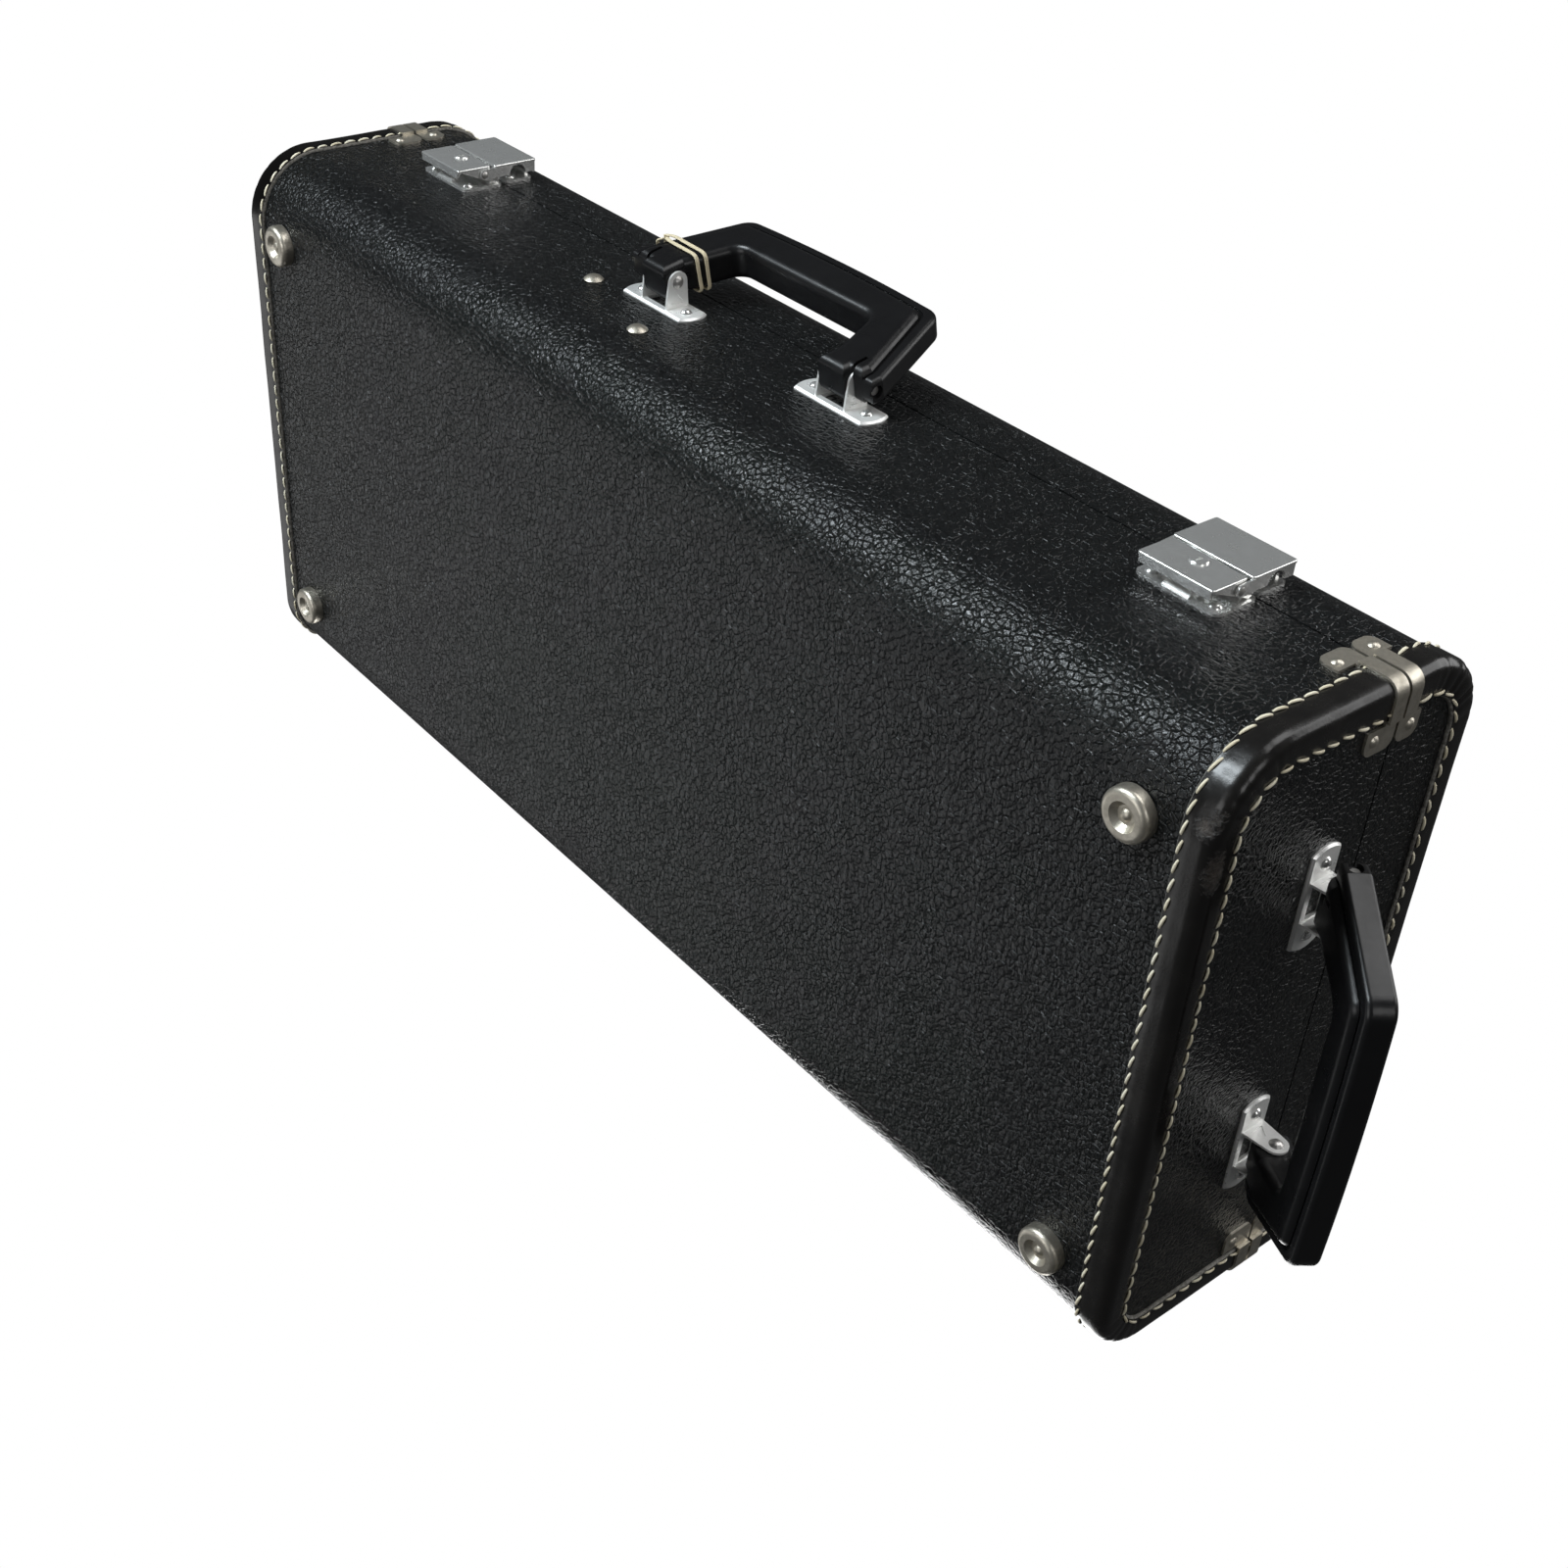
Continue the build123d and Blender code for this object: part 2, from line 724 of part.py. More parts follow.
for hand, side in hands:
    seat = on_latch_side(side * latch_x, seam_z)
    plate_rivets = [
        spot(seat, way * latch_rivet_x, latch_rivet_up, latch_plate_thickness) for way in (-1, 1)
    ]
    strike_holes = [
        spot(seat, way * strike_rivet_x, strike_rivet_up, latch_plate_thickness) for way in (-1, 1)
    ]
    latch_plate_seats += plate_rivets
    strike_seats += strike_holes
    lever_pin_seats.append(
        Plane(
            origin=seat.from_local_coords((pin_half, lever_pivot_up, lever_pivot_out)),
            x_dir=seat.y_dir,
            z_dir=seat.x_dir,
        )
    )

    with BuildPart() as latch_plate:
        with BuildSketch(seat):
            with Locations((0, (latch_plate_bottom + latch_plate_top) / 2)):
                RectangleRounded(
                    latch_plate_width, latch_plate_top - latch_plate_bottom, latch_plate_corner
                )
        extrude(amount=latch_plate_thickness)
        for way in (-1, 1):
            with BuildSketch(side_plane(seat, way * (ear_inner + sheet / 2))):
                with Locations((lever_pivot_up, lever_pivot_out)):
                    Circle(ear_radius)
                with Locations((lever_pivot_up, latch_plate_thickness / 2)):
                    Rectangle(
                        2 * ear_radius,
                        lever_pivot_out - latch_plate_thickness / 2,
                        align=(Align.CENTER, Align.MIN),
                    )
            extrude(amount=sheet / 2, both=True)
        with BuildSketch(side_plane(seat, 0)):
            Polygon(
                (tongue_foot_up, latch_plate_thickness / 2),
                (tongue_foot_up + tongue_root, latch_plate_thickness / 2),
                (tongue_tip_up - tongue_bend_inner, tongue_out - sheet),
                (tongue_tip_up, tongue_out - sheet),
                (tongue_tip_up, tongue_out),
                (tongue_tip_up - tongue_bend_outer, tongue_out),
                (tongue_foot_up, latch_plate_thickness + tongue_root_lift),
                align=None,
            )
        extrude(amount=tongue_width / 2, both=True)
        with BuildSketch(side_plane(seat, 0)):
            with Locations((lever_pivot_up, lever_pivot_out)):
                Circle(lever_pin_radius)
        extrude(amount=latch_plate_width, both=True, mode=Mode.SUBTRACT)
        with Locations(*plate_rivets):
            Hole(small_rivet_shank, latch_plate_thickness)
    finish(latch_plate, f"latch_plate_{hand}")

    with BuildPart() as latch_lever:
        with BuildSketch(seat.offset(cover_underside)):
            with Locations((0, (lever_bottom + lever_top) / 2)):
                RectangleRounded(2 * lever_half, lever_top - lever_bottom, pressed_corner)
        extrude(amount=cover_thickness)
        fillet(latch_lever.faces().sort_by(Axis.Y)[0].edges(), pressed_edge)
        with BuildSketch(side_plane(seat, 0)):
            with Locations((lever_bottom, cover_underside + cover_thickness / 2)):
                Rectangle(
                    sheet, lever_lip_depth + cover_thickness / 2, align=(Align.MIN, Align.MAX)
                )
        extrude(amount=lever_half - pressed_corner, both=True)
        for way in (-1, 1):
            with BuildSketch(side_plane(seat, way * (flange_inner + sheet / 2))):
                with Locations((lever_pivot_up, lever_pivot_out)):
                    Circle(lever_eye_radius)
                with Locations(((lever_bottom + lever_top) / 2, cover_underside)):
                    Rectangle(lever_top - lever_bottom - 2 * lever_flange_short, sheet)
                make_hull()
            extrude(amount=sheet / 2, both=True)
        with BuildSketch(side_plane(seat, 0)):
            with Locations((lever_pivot_up, lever_pivot_out)):
                Circle(lever_pin_radius + running_clearance)
            with Locations((hasp_pivot_up, hasp_pivot_out)):
                Circle(hasp_pin_radius)
        extrude(amount=latch_plate_width, both=True, mode=Mode.SUBTRACT)
        with Locations(spot(seat, 0, lock_up, cover_underside + cover_thickness)):
            Hole(lock_radius + running_clearance, cover_thickness)
    finish(latch_lever, f"latch_lever_{hand}")

    hasp_pin_seats = [
        Plane(
            origin=seat.from_local_coords(
                (way * (hasp_half + running_clearance), hasp_pivot_up, hasp_pivot_out)
            ),
            x_dir=seat.y_dir,
            z_dir=seat.x_dir * way,
        )
        for way in (-1, 1)
    ]
    with BuildPart() as hasp_pin:
        add(
            rivets(
                hasp_pin_seats, hasp_pin_head_radius, hasp_pin_head_height, hasp_pin_radius,
                hasp_half + running_clearance - flange_inner,
            )
        )
    finish(hasp_pin, f"hasp_pin_{hand}")

    with BuildPart() as latch_hasp:
        with BuildSketch(seat.offset(cover_underside)):
            with Locations((0, (hasp_bottom + hasp_top) / 2)):
                RectangleRounded(2 * hasp_half, hasp_top - hasp_bottom, pressed_corner)
        extrude(amount=cover_thickness)
        fillet(latch_hasp.faces().sort_by(Axis.Y)[0].edges(), pressed_edge)
        with BuildSketch(side_plane(seat, 0)):
            with Locations((hasp_top, cover_underside + cover_thickness / 2)):
                Rectangle(sheet, hook_in + cover_thickness / 2, align=(Align.MAX, Align.MAX))
        extrude(amount=hasp_half - pressed_corner, both=True)
        for way in (-1, 1):
            with BuildSketch(side_plane(seat, way * (arm_inner + sheet / 2))):
                with Locations((hasp_pivot_up, hasp_pivot_out)):
                    Circle(hasp_eye_radius)
                Polygon(
                    (hasp_bottom + hasp_arm_root, hasp_skirt_out),
                    (hasp_bottom + hasp_skirt_inset, cover_underside + skirt_overlap),
                    (hasp_bottom + hasp_arm_root, cover_underside + skirt_overlap),
                    align=None,
                )
                make_hull()
                with Locations((hasp_bottom + hasp_skirt_inset, hasp_skirt_out)):
                    Rectangle(
                        hasp_top - hasp_bottom - 2 * hasp_skirt_inset,
                        cover_underside + skirt_overlap - hasp_skirt_out,
                        align=(Align.MIN, Align.MIN),
                    )
                with Locations((hasp_notch_up, hasp_skirt_out)):
                    Circle(hasp_notch_radius, mode=Mode.SUBTRACT)
                with Locations((hasp_pivot_up, hasp_pivot_out)):
                    Circle(hasp_pin_radius + running_clearance, mode=Mode.SUBTRACT)
            extrude(amount=sheet / 2, both=True)
    finish(latch_hasp, f"latch_hasp_{hand}")

    with BuildPart() as lock_plug:
        with BuildSketch(seat.offset(cover_underside - lock_play - lock_cam_thickness)):
            with Locations((0, lock_up)):
                Circle(lock_radius)
                with Locations((0, lock_radius / 2)):
                    Rectangle(lock_cam_width, lock_cam_length, align=(Align.CENTER, Align.MIN))
        extrude(amount=lock_cam_thickness)
        with BuildSketch(seat.offset(cover_underside - lock_play)):
            with Locations((0, lock_up)):
                Circle(lock_radius)
        extrude(amount=cover_thickness + lock_play)
        with BuildSketch(seat.offset(cover_underside + cover_thickness)):
            with Locations((0, lock_up)):
                Circle(lock_head_radius)
        extrude(amount=lock_head_height)
        chamfer(lock_plug.faces().sort_by(Axis.Y)[0].edges(), lock_head_chamfer)
        with BuildSketch(seat.offset(cover_underside + cover_thickness + lock_head_height)):
            with Locations((0, lock_up + keyhole_slot_length / 4)):
                Circle(keyhole_radius)
            with Locations((0, lock_up - keyhole_radius)):
                Rectangle(keyhole_radius, keyhole_slot_length)
        extrude(amount=-keyhole_depth, mode=Mode.SUBTRACT)
    finish(lock_plug, f"lock_plug_{hand}")

    with BuildPart() as strike:
        with BuildSketch(seat):
            with Locations((0, (strike_bottom + strike_top) / 2)):
                RectangleRounded(strike_width, strike_top - strike_bottom, strike_corner)
        extrude(amount=latch_plate_thickness)
        with BuildSketch(side_plane(seat, 0)):
            with BuildLine():
                Polyline(
                    (strike_top, 0),
                    (strike_top, strike_bead_flank),
                )
                ThreePointArc(
                    (strike_top, strike_bead_flank),
                    (strike_top - strike_bead_depth / 2, strike_bead_out),
                    (strike_top - strike_bead_depth, strike_bead_flank),
                )
                Polyline(
                    (strike_top - strike_bead_depth, strike_bead_flank),
                    (strike_top - strike_bead_depth, 0),
                    (strike_top, 0),
                )
            make_face()
        extrude(amount=strike_bead_length / 2, both=True)
        with Locations(*strike_holes):
            Hole(small_rivet_shank, latch_plate_thickness)
    finish(strike, f"strike_{hand}")

with BuildPart() as lever_pins:
    for pin_seat in lever_pin_seats:
        with BuildSketch(pin_seat):
            Circle(lever_pin_radius)
        extrude(amount=-2 * pin_half)
finish(lever_pins, "lever_pins")

with BuildPart() as latch_plate_rivets:
    add(
        rivets(
            latch_plate_seats, small_rivet_radius, small_rivet_height, small_rivet_shank,
            latch_plate_thickness,
        )
    )
finish(latch_plate_rivets, "latch_plate_rivets")

with BuildPart() as strike_rivets:
    add(
        rivets(
            strike_seats, small_rivet_radius, small_rivet_height, small_rivet_shank,
            latch_plate_thickness,
        )
    )
finish(strike_rivets, "strike_rivets")


# Handle brackets: boat-shaped plates with two lanced ears
def bracket(seat, holes):
    """One bracket on its seat, with the ears square to the pivot."""
    half = bracket_length / 2
    shoulder = half - bracket_end_bow
    edge = bracket_width / 2
    with BuildPart() as plate:
        with BuildSketch(seat):
            with BuildLine():
                Line((-shoulder, -edge), (shoulder, -edge))
                ThreePointArc((shoulder, -edge), (half, 0), (shoulder, edge))
                Line((shoulder, edge), (-shoulder, edge))
                ThreePointArc((-shoulder, edge), (-half, 0), (-shoulder, -edge))
            make_face()
        extrude(amount=bracket_thickness)
        chamfer(plate.faces().sort_by(Axis(seat.origin, seat.z_dir))[-1].edges(), bracket_bevel)
        with BuildSketch(seat):
            RectangleRounded(
                2 * (bracket_ear_inner - bracket_window_margin), bracket_window_width, window_corner
            )
        extrude(amount=bracket_thickness, mode=Mode.SUBTRACT)
        for way in (-1, 1):
            with BuildSketch(side_plane(seat, way * (bracket_ear_inner + sheet / 2))):
                with Locations((0, pivot_height)):
                    Circle(bracket_ear_radius)
                with Locations((0, bracket_thickness / 2)):
                    Rectangle(bracket_ear_foot, 0.5)
                make_hull()
                with Locations((0, pivot_height)):
                    Circle(handle_pin_radius, mode=Mode.SUBTRACT)
            extrude(amount=sheet / 2, both=True)
            # Pressed triangle that stiffens the ear
            with BuildSketch(side_plane(seat, way * (bracket_ear_inner + sheet))):
                Polygon(
                    (-ear_press_half, ear_press_low),
                    (ear_press_half, ear_press_low),
                    (0, ear_press_high),
                    align=None,
                )
            extrude(amount=-way * ear_press_depth, mode=Mode.SUBTRACT)
        with Locations(*holes):
            Hole(small_rivet_shank, bracket_thickness)
    return plate.part


bracket_rivet_seats = []
ear_outer = bracket_ear_inner + sheet
handle_seats = {
    "main": on_latch_side(0, base_z + bracket_height),
    "end": on_right_end(0, base_z + bracket_height),
}
bracket_names = {
    ("main", -1): "main_bracket_left",
    ("main", 1): "main_bracket_right",
    ("end", -1): "end_bracket_lower",
    ("end", 1): "end_bracket_upper",
}
grip_foot_end = bracket_spacing / 2 + grip_foot_out
pin_length = grip_foot_end - pin_recess_depth - (bracket_spacing / 2 - ear_outer)

for handle, handle_seat in handle_seats.items():
    pin_seats = []
    for side in (-1, 1):
        bracket_seat = spot(handle_seat, side * bracket_spacing / 2, 0, 0)
        bracket_holes = [spot(bracket_seat, way * bracket_rivet_x, 0, bracket_thickness) for way in (-1, 1)]
        bracket_rivet_seats += bracket_holes
        with BuildPart() as bracket_plate:
            add(bracket(bracket_seat, bracket_holes))
        finish(bracket_plate, bracket_names[(handle, side)])
        pin_seats.append(
            Plane(
                origin=bracket_seat.from_local_coords((-side * ear_outer, 0, pivot_height)),
                x_dir=handle_seat.y_dir,
                z_dir=handle_seat.x_dir * -side,
            )
        )
    with BuildPart() as handle_pins:
        add(rivets(pin_seats, handle_pin_head_radius, handle_pin_head_height, handle_pin_radius, pin_length))
    finish(handle_pins, f"{handle}_handle_pins")

with BuildPart() as bracket_rivets:
    add(
        rivets(
            bracket_rivet_seats, small_rivet_radius, small_rivet_height, small_rivet_shank,
            bracket_thickness,
        )
    )
finish(bracket_rivets, "bracket_rivets")

# The two large domed heads beside the main handle
side_rivet_seats = [
    on_latch_side(x, base_z + height, side_rivet_collar) for x, height in (side_rivet_left, side_rivet_right)
]
with BuildPart() as side_rivets:
    add(
        rivets(
            side_rivet_seats, side_rivet_radius, side_rivet_height - side_rivet_collar,
            side_rivet_radius - side_rivet_collar, side_rivet_collar,
        )
    )
finish(side_rivets, "side_rivets")


# Grips: moulded yokes with a flanged outer rim, turning on the bracket pins
def grip_outline(plane, inset):
    """The yoke's outline in its own plane, its outer edge drawn in by inset."""
    web_inner = bracket_spacing / 2 - grip_foot_half_web
    web_outer = bracket_spacing / 2 + grip_foot_half_web
    foot_end = grip_foot_end - inset
    corner_half = grip_corner_half - inset * 0.8
    right = [
        (grip_inner_half, grip_inner_reach),
        (web_inner, grip_shoulder),
        (web_inner, -grip_foot_drop),
        (web_outer, -grip_foot_drop),
        (web_outer, -grip_flange_drop),
        (foot_end, -grip_flange_drop),
        (foot_end, grip_flank),
        (corner_half, grip_reach - inset),
    ]
    left = [(-along, reach) for along, reach in right]
    with BuildSketch(plane) as outline:
        with BuildLine():
            Polyline(*right)
            ThreePointArc(right[-1], (0, grip_reach + grip_bow - inset), left[-1])
            Polyline(*reversed(left))
            Line(left[0], right[0])
        make_face()
        fillet(outline.vertices().group_by(Axis.Y)[-1], grip_outer_corner - inset * 0.5)
        inner_low = grip_inner_reach - grip_inner_corner
        inner_high = grip_inner_reach + grip_inner_corner
        fillet(outline.vertices().filter_by_position(Axis.Y, inner_low, inner_high), grip_inner_corner)
    return outline.sketch


def rounded_slab(outline, plane, thickness, edge_radius):
    """An outline given thickness about its plane, with the edges of both faces rounded."""
    with BuildPart() as slab:
        extrude(outline, amount=thickness / 2, both=True)
        faces_by_normal = slab.faces().sort_by(Axis(plane.origin, plane.z_dir))
        fillet(faces_by_normal[0].edges() + faces_by_normal[-1].edges(), edge_radius)
    return slab.part


def yoke(handle_seat, fold_angle):
    """One grip at its resting angle, and the plane of its outline."""
    tilt = radians(fold_angle)
    pivot = handle_seat.from_local_coords((0, 0, pivot_height))
    reach = handle_seat.z_dir * cos(tilt) + handle_seat.y_dir * sin(tilt)
    plane = Plane(origin=pivot, x_dir=handle_seat.x_dir, z_dir=handle_seat.x_dir.cross(reach))
    across = Plane(origin=pivot, x_dir=reach, z_dir=handle_seat.x_dir)
    core_inset = grip_rim_width + grip_groove_width
    core = rounded_slab(grip_outline(plane, core_inset), plane, grip_body_thickness, grip_edge)
    with BuildPart() as body:
        add(rounded_slab(grip_outline(plane, 0), plane, grip_rim_thickness, grip_rim_edge))
        # The groove that sets the flanged rim off from the core
        for way in (-1, 1):
            with BuildSketch(plane.offset(way * grip_groove_thickness / 2)):
                add(grip_outline(Plane.XY, grip_rim_width))
                add(grip_outline(Plane.XY, core_inset), mode=Mode.SUBTRACT)
            extrude(amount=way * grip_rim_thickness, mode=Mode.SUBTRACT)
        add(core)
        for side in (-1, 1):
            slot_middle = side * (bracket_spacing / 2 + bracket_ear_inner + sheet / 2)
            with BuildSketch(plane):
                with Locations((slot_middle, grip_ear_slot)):
                    Rectangle(sheet + 2 * grip_play, 4 * grip_ear_slot, align=(Align.CENTER, Align.MAX))
            extrude(amount=grip_body_thickness, both=True, mode=Mode.SUBTRACT)
            with BuildSketch(across.offset(side * (grip_foot_end - pin_recess_depth))):
                Circle(pin_recess_radius)
            extrude(amount=side * 2 * pin_recess_depth, mode=Mode.SUBTRACT)
        with BuildSketch(across):
            Circle(handle_pin_radius + running_clearance)
        extrude(amount=2 * bracket_spacing, both=True, mode=Mode.SUBTRACT)
    return body.part, plane


end_yoke, end_plane = yoke(handle_seats["end"], end_fold_angle)
with BuildPart() as end_grip:
    add(end_yoke)
finish(end_grip, "end_grip")

main_yoke, main_plane = yoke(handle_seats["main"], main_fold_angle)
with BuildPart() as main_grip:
    add(main_yoke)
finish(main_grip, "main_grip")

# Elastic band: two turns wound round the left leg of the main grip
leg_lean = (grip_foot_end - grip_corner_half) / (grip_reach - grip_flank)
leg_dir = main_plane.x_dir * leg_lean + main_plane.y_dir
band_inner_half = bracket_spacing / 2 - grip_foot_half_web
inner_lean = (band_inner_half - grip_inner_half) / (grip_inner_reach - grip_shoulder)

with BuildPart() as elastic_band:
    for turn in range(2):
        reach = band_reach + turn * band_step
        outer_s = grip_foot_end - (reach - grip_flank) * leg_lean + band_play
        inner_s = band_inner_half - (reach + band_width - grip_shoulder) * inner_lean - band_play
        core_s = outer_s - grip_rim_width - grip_groove_width
        turn_plane = Plane(
            origin=main_plane.from_local_coords((0, reach, 0)),
            x_dir=main_plane.x_dir,
            z_dir=main_plane.y_dir,
        )
        half_body = grip_body_thickness / 2 + band_play
        half_rim = grip_rim_thickness / 2 + band_play
        with BuildSketch(turn_plane) as band_section:
            with BuildSketch(turn_plane, mode=Mode.PRIVATE) as leg_section:
                Polygon(
                    (-inner_s, -half_body),
                    (-inner_s, half_body),
                    (-core_s, half_body),
                    (-outer_s, half_rim),
                    (-outer_s, -half_rim),
                    (-core_s, -half_body),
                    align=None,
                )
            add(leg_section.sketch_local)
            offset(amount=band_thickness)
            add(leg_section.sketch_local, mode=Mode.SUBTRACT)
        extrude(amount=band_width, dir=leg_dir)
finish(elastic_band, "elastic_band")
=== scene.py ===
from math import cos, hypot, pi, radians, sin

import bmesh
import bpy
from mathutils import Matrix, Vector, noise


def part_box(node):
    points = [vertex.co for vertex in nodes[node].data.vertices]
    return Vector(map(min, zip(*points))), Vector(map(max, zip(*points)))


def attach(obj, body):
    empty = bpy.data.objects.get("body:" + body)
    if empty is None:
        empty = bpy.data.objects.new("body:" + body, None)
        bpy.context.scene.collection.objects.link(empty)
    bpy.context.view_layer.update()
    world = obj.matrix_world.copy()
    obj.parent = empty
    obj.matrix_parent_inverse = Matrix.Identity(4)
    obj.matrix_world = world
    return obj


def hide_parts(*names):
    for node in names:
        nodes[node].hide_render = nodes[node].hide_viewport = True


# Shapes are worked out in millimetres and placed through MM. Materials and lamps are in metres.
MM = 0.001

# Camera: the photograph shows the case stood on its hinge side, seen from in front of the feet,
# past the right end and a little above the latches. The frame keeps the case flat on its feet,
# so here the camera is rolled, with the case's latch side (-Y) towards the top of the picture.
camera_data = bpy.data.cameras.new("camera")
camera_data.lens = 45.881
camera_data.sensor_width = 36.0
camera_data.clip_start = 0.05
camera_data.clip_end = 20.0
camera = bpy.data.objects.new("camera", camera_data)
bpy.context.scene.collection.objects.link(camera)
camera_place = Vector((0.597707, -0.470645, -0.423347))
camera_right = Vector((0.629734, -0.062919, 0.774259))
camera_forward = Vector((-0.609203, 0.578423, 0.542493))
camera_up = camera_right.cross(camera_forward)
camera.matrix_world = Matrix.Translation(camera_place) @ Matrix(
    (camera_right, camera_up, -camera_forward)
).transposed().to_4x4()
bpy.context.scene.camera = camera

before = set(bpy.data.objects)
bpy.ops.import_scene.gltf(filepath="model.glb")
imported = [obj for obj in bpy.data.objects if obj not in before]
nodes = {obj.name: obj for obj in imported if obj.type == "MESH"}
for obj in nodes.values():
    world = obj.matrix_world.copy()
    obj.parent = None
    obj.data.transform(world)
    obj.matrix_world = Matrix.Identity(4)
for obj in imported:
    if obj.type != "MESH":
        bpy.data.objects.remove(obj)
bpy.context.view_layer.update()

# Cover: leatherette over bent plywood, on both troughs and all four end panels. It is embossed
# with a fine pebble grain that catches a broken bluish shine along the rounded shoulders, and it
# has creased lengthways where it was stretched over them.
cover_color = (0.0062, 0.0068, 0.0069)
cover_roughness = 0.22
cover_specular = 0.31
wave_depth = 0.0012
crease_depth = 0.00022
pebble_size = 0.0026
pebble_depth = 0.00038
pebble_warp = 0.9 * pebble_size


def new_material(name, base_color, roughness):
    """A named material and the two nodes that every finish starts from."""
    material = bpy.data.materials.new(name)
    material.use_nodes = True
    tree = material.node_tree
    shader = tree.nodes["Principled BSDF"]
    shader.inputs["Base Color"].default_value = (*base_color, 1.0)
    shader.inputs["Roughness"].default_value = roughness
    return material, tree, shader


def object_points(tree, stretch=(1.0, 1.0, 1.0)):
    """The object's own coordinates, optionally squeezed along an axis."""
    coordinates = tree.nodes.new("ShaderNodeTexCoord")
    mapping = tree.nodes.new("ShaderNodeMapping")
    mapping.inputs["Scale"].default_value = stretch
    tree.links.new(coordinates.outputs["Object"], mapping.inputs["Vector"])
    return mapping.outputs["Vector"]


def noise_value(tree, points, scale, detail=3.0, rough=0.55):
    """A noise texture's value at a scale in cycles per metre."""
    texture = tree.nodes.new("ShaderNodeTexNoise")
    texture.inputs["Scale"].default_value = scale
    texture.inputs["Detail"].default_value = detail
    texture.inputs["Roughness"].default_value = rough
    tree.links.new(points, texture.inputs["Vector"])
    return texture.outputs["Fac"]


def ramp(tree, value, stops):
    """A colour ramp through (position, colour) stops."""
    node = tree.nodes.new("ShaderNodeValToRGB")
    elements = node.color_ramp.elements
    while len(elements) < len(stops):
        elements.new(0.5)
    for element, (position, color) in zip(elements, stops):
        element.position = position
        element.color = (*color, 1.0)
    tree.links.new(value, node.inputs["Fac"])
    return node.outputs["Color"]


def ramp_to(tree, socket, value, stops):
    """Drive a shader's socket by a value, through a colour ramp."""
    tree.links.new(ramp(tree, value, stops), socket)


def calculated(tree, operation, *inputs, kind="Math", result="Value"):
    """The result of a math node, whose inputs are numbers, vectors or other nodes' outputs."""
    node = tree.nodes.new(f"ShaderNode{kind}")
    node.operation = operation
    for socket, value in zip(node.inputs, inputs):
        if isinstance(value, bpy.types.NodeSocket):
            tree.links.new(value, socket)
        else:
            socket.default_value = value
    return node.outputs[result]


def bump(tree, shader, height, depth, under=None):
    """Bump a shader's normal by a height, stacked over an earlier bump if given."""
    node = tree.nodes.new("ShaderNodeBump")
    node.inputs["Strength"].default_value = 1.0
    node.inputs["Distance"].default_value = depth
    tree.links.new(height, node.inputs["Height"])
    if under is not None:
        tree.links.new(under, node.inputs["Normal"])
    tree.links.new(node.outputs["Normal"], shader.inputs["Normal"])
    return node.outputs["Normal"]


def grey(level):
    """A neutral colour."""
    return (level, level, level)


def dress(thing, material):
    """Give an object or a CAD node one material in place of any it has."""
    thing.data.materials.clear()
    thing.data.materials.append(material)


cover, tree, shader = new_material("black grained leatherette", cover_color, cover_roughness)
points = object_points(tree)
waves = bump(tree, shader, noise_value(tree, points, 22.0, 1.0), wave_depth)
along_case = noise_value(tree, object_points(tree, (0.20, 1.0, 1.0)), 420.0, 3.0, 0.6)
across_case = noise_value(tree, object_points(tree, (1.0, 0.34, 1.0)), 520.0, 3.0, 0.6)
coordinates = tree.nodes.new("ShaderNodeTexCoord")
facing = tree.nodes.new("ShaderNodeSeparateXYZ")
tree.links.new(coordinates.outputs["Normal"], facing.inputs[0])
choice = tree.nodes.new("ShaderNodeMix")
tree.links.new(calculated(tree, "ABSOLUTE", facing.outputs["Z"]), choice.inputs["Factor"])
tree.links.new(along_case, choice.inputs["A"])
tree.links.new(across_case, choice.inputs["B"])
creases = ramp(tree, choice.outputs["Result"], [(0.38, grey(0.0)), (0.58, grey(1.0))])
creased = bump(tree, shader, creases, crease_depth, waves)
swirl = tree.nodes.new("ShaderNodeTexNoise")
swirl.inputs["Scale"].default_value = 0.35 / pebble_size
tree.links.new(points, swirl.inputs["Vector"])
warped = calculated(
    tree,
    "MULTIPLY_ADD",
    swirl.outputs["Color"],
    grey(pebble_warp),
    object_points(tree, (0.82, 1.0, 1.0)),
    kind="VectorMath",
    result="Vector",
)
pebbles = tree.nodes.new("ShaderNodeTexVoronoi")
pebbles.feature = "DISTANCE_TO_EDGE"
pebbles.inputs["Scale"].default_value = 1.0 / pebble_size
tree.links.new(warped, pebbles.inputs["Vector"])
from_crack = pebbles.outputs["Distance"]
grain_stops = [(0.0, grey(0.0)), (0.06, grey(0.62)), (0.15, grey(0.86)), (0.45, grey(1.0))]
bump(tree, shader, ramp(tree, from_crack, grain_stops), pebble_depth, creased)
shine_stops = [(0.3, grey(cover_roughness + 0.06)), (0.7, grey(cover_roughness - 0.06))]
ramp_to(tree, shader.inputs["Roughness"], noise_value(tree, points, 42.0, 4.0), shine_stops)
# Painted shade: the base colour darkens to 0.4 of the cover's down in the grain's cracks, and the
# pebbles' tops are painted a little lighter.
crack_painted_shade = tuple(0.4 * part for part in cover_color)
pebble_top_painted_lighter = tuple(1.1 * part for part in cover_color)
ramp_to(tree, shader.inputs["Base Color"], from_crack, [(0.0, crack_painted_shade), (0.16, pebble_top_painted_lighter)])
shader.inputs["Specular IOR Level"].default_value = cover_specular

for body in ("base", "lid"):
    for piece in ("shell", "end_left", "end_right"):
        panel = nodes[f"{body}_{piece}"]
        dress(panel, cover)

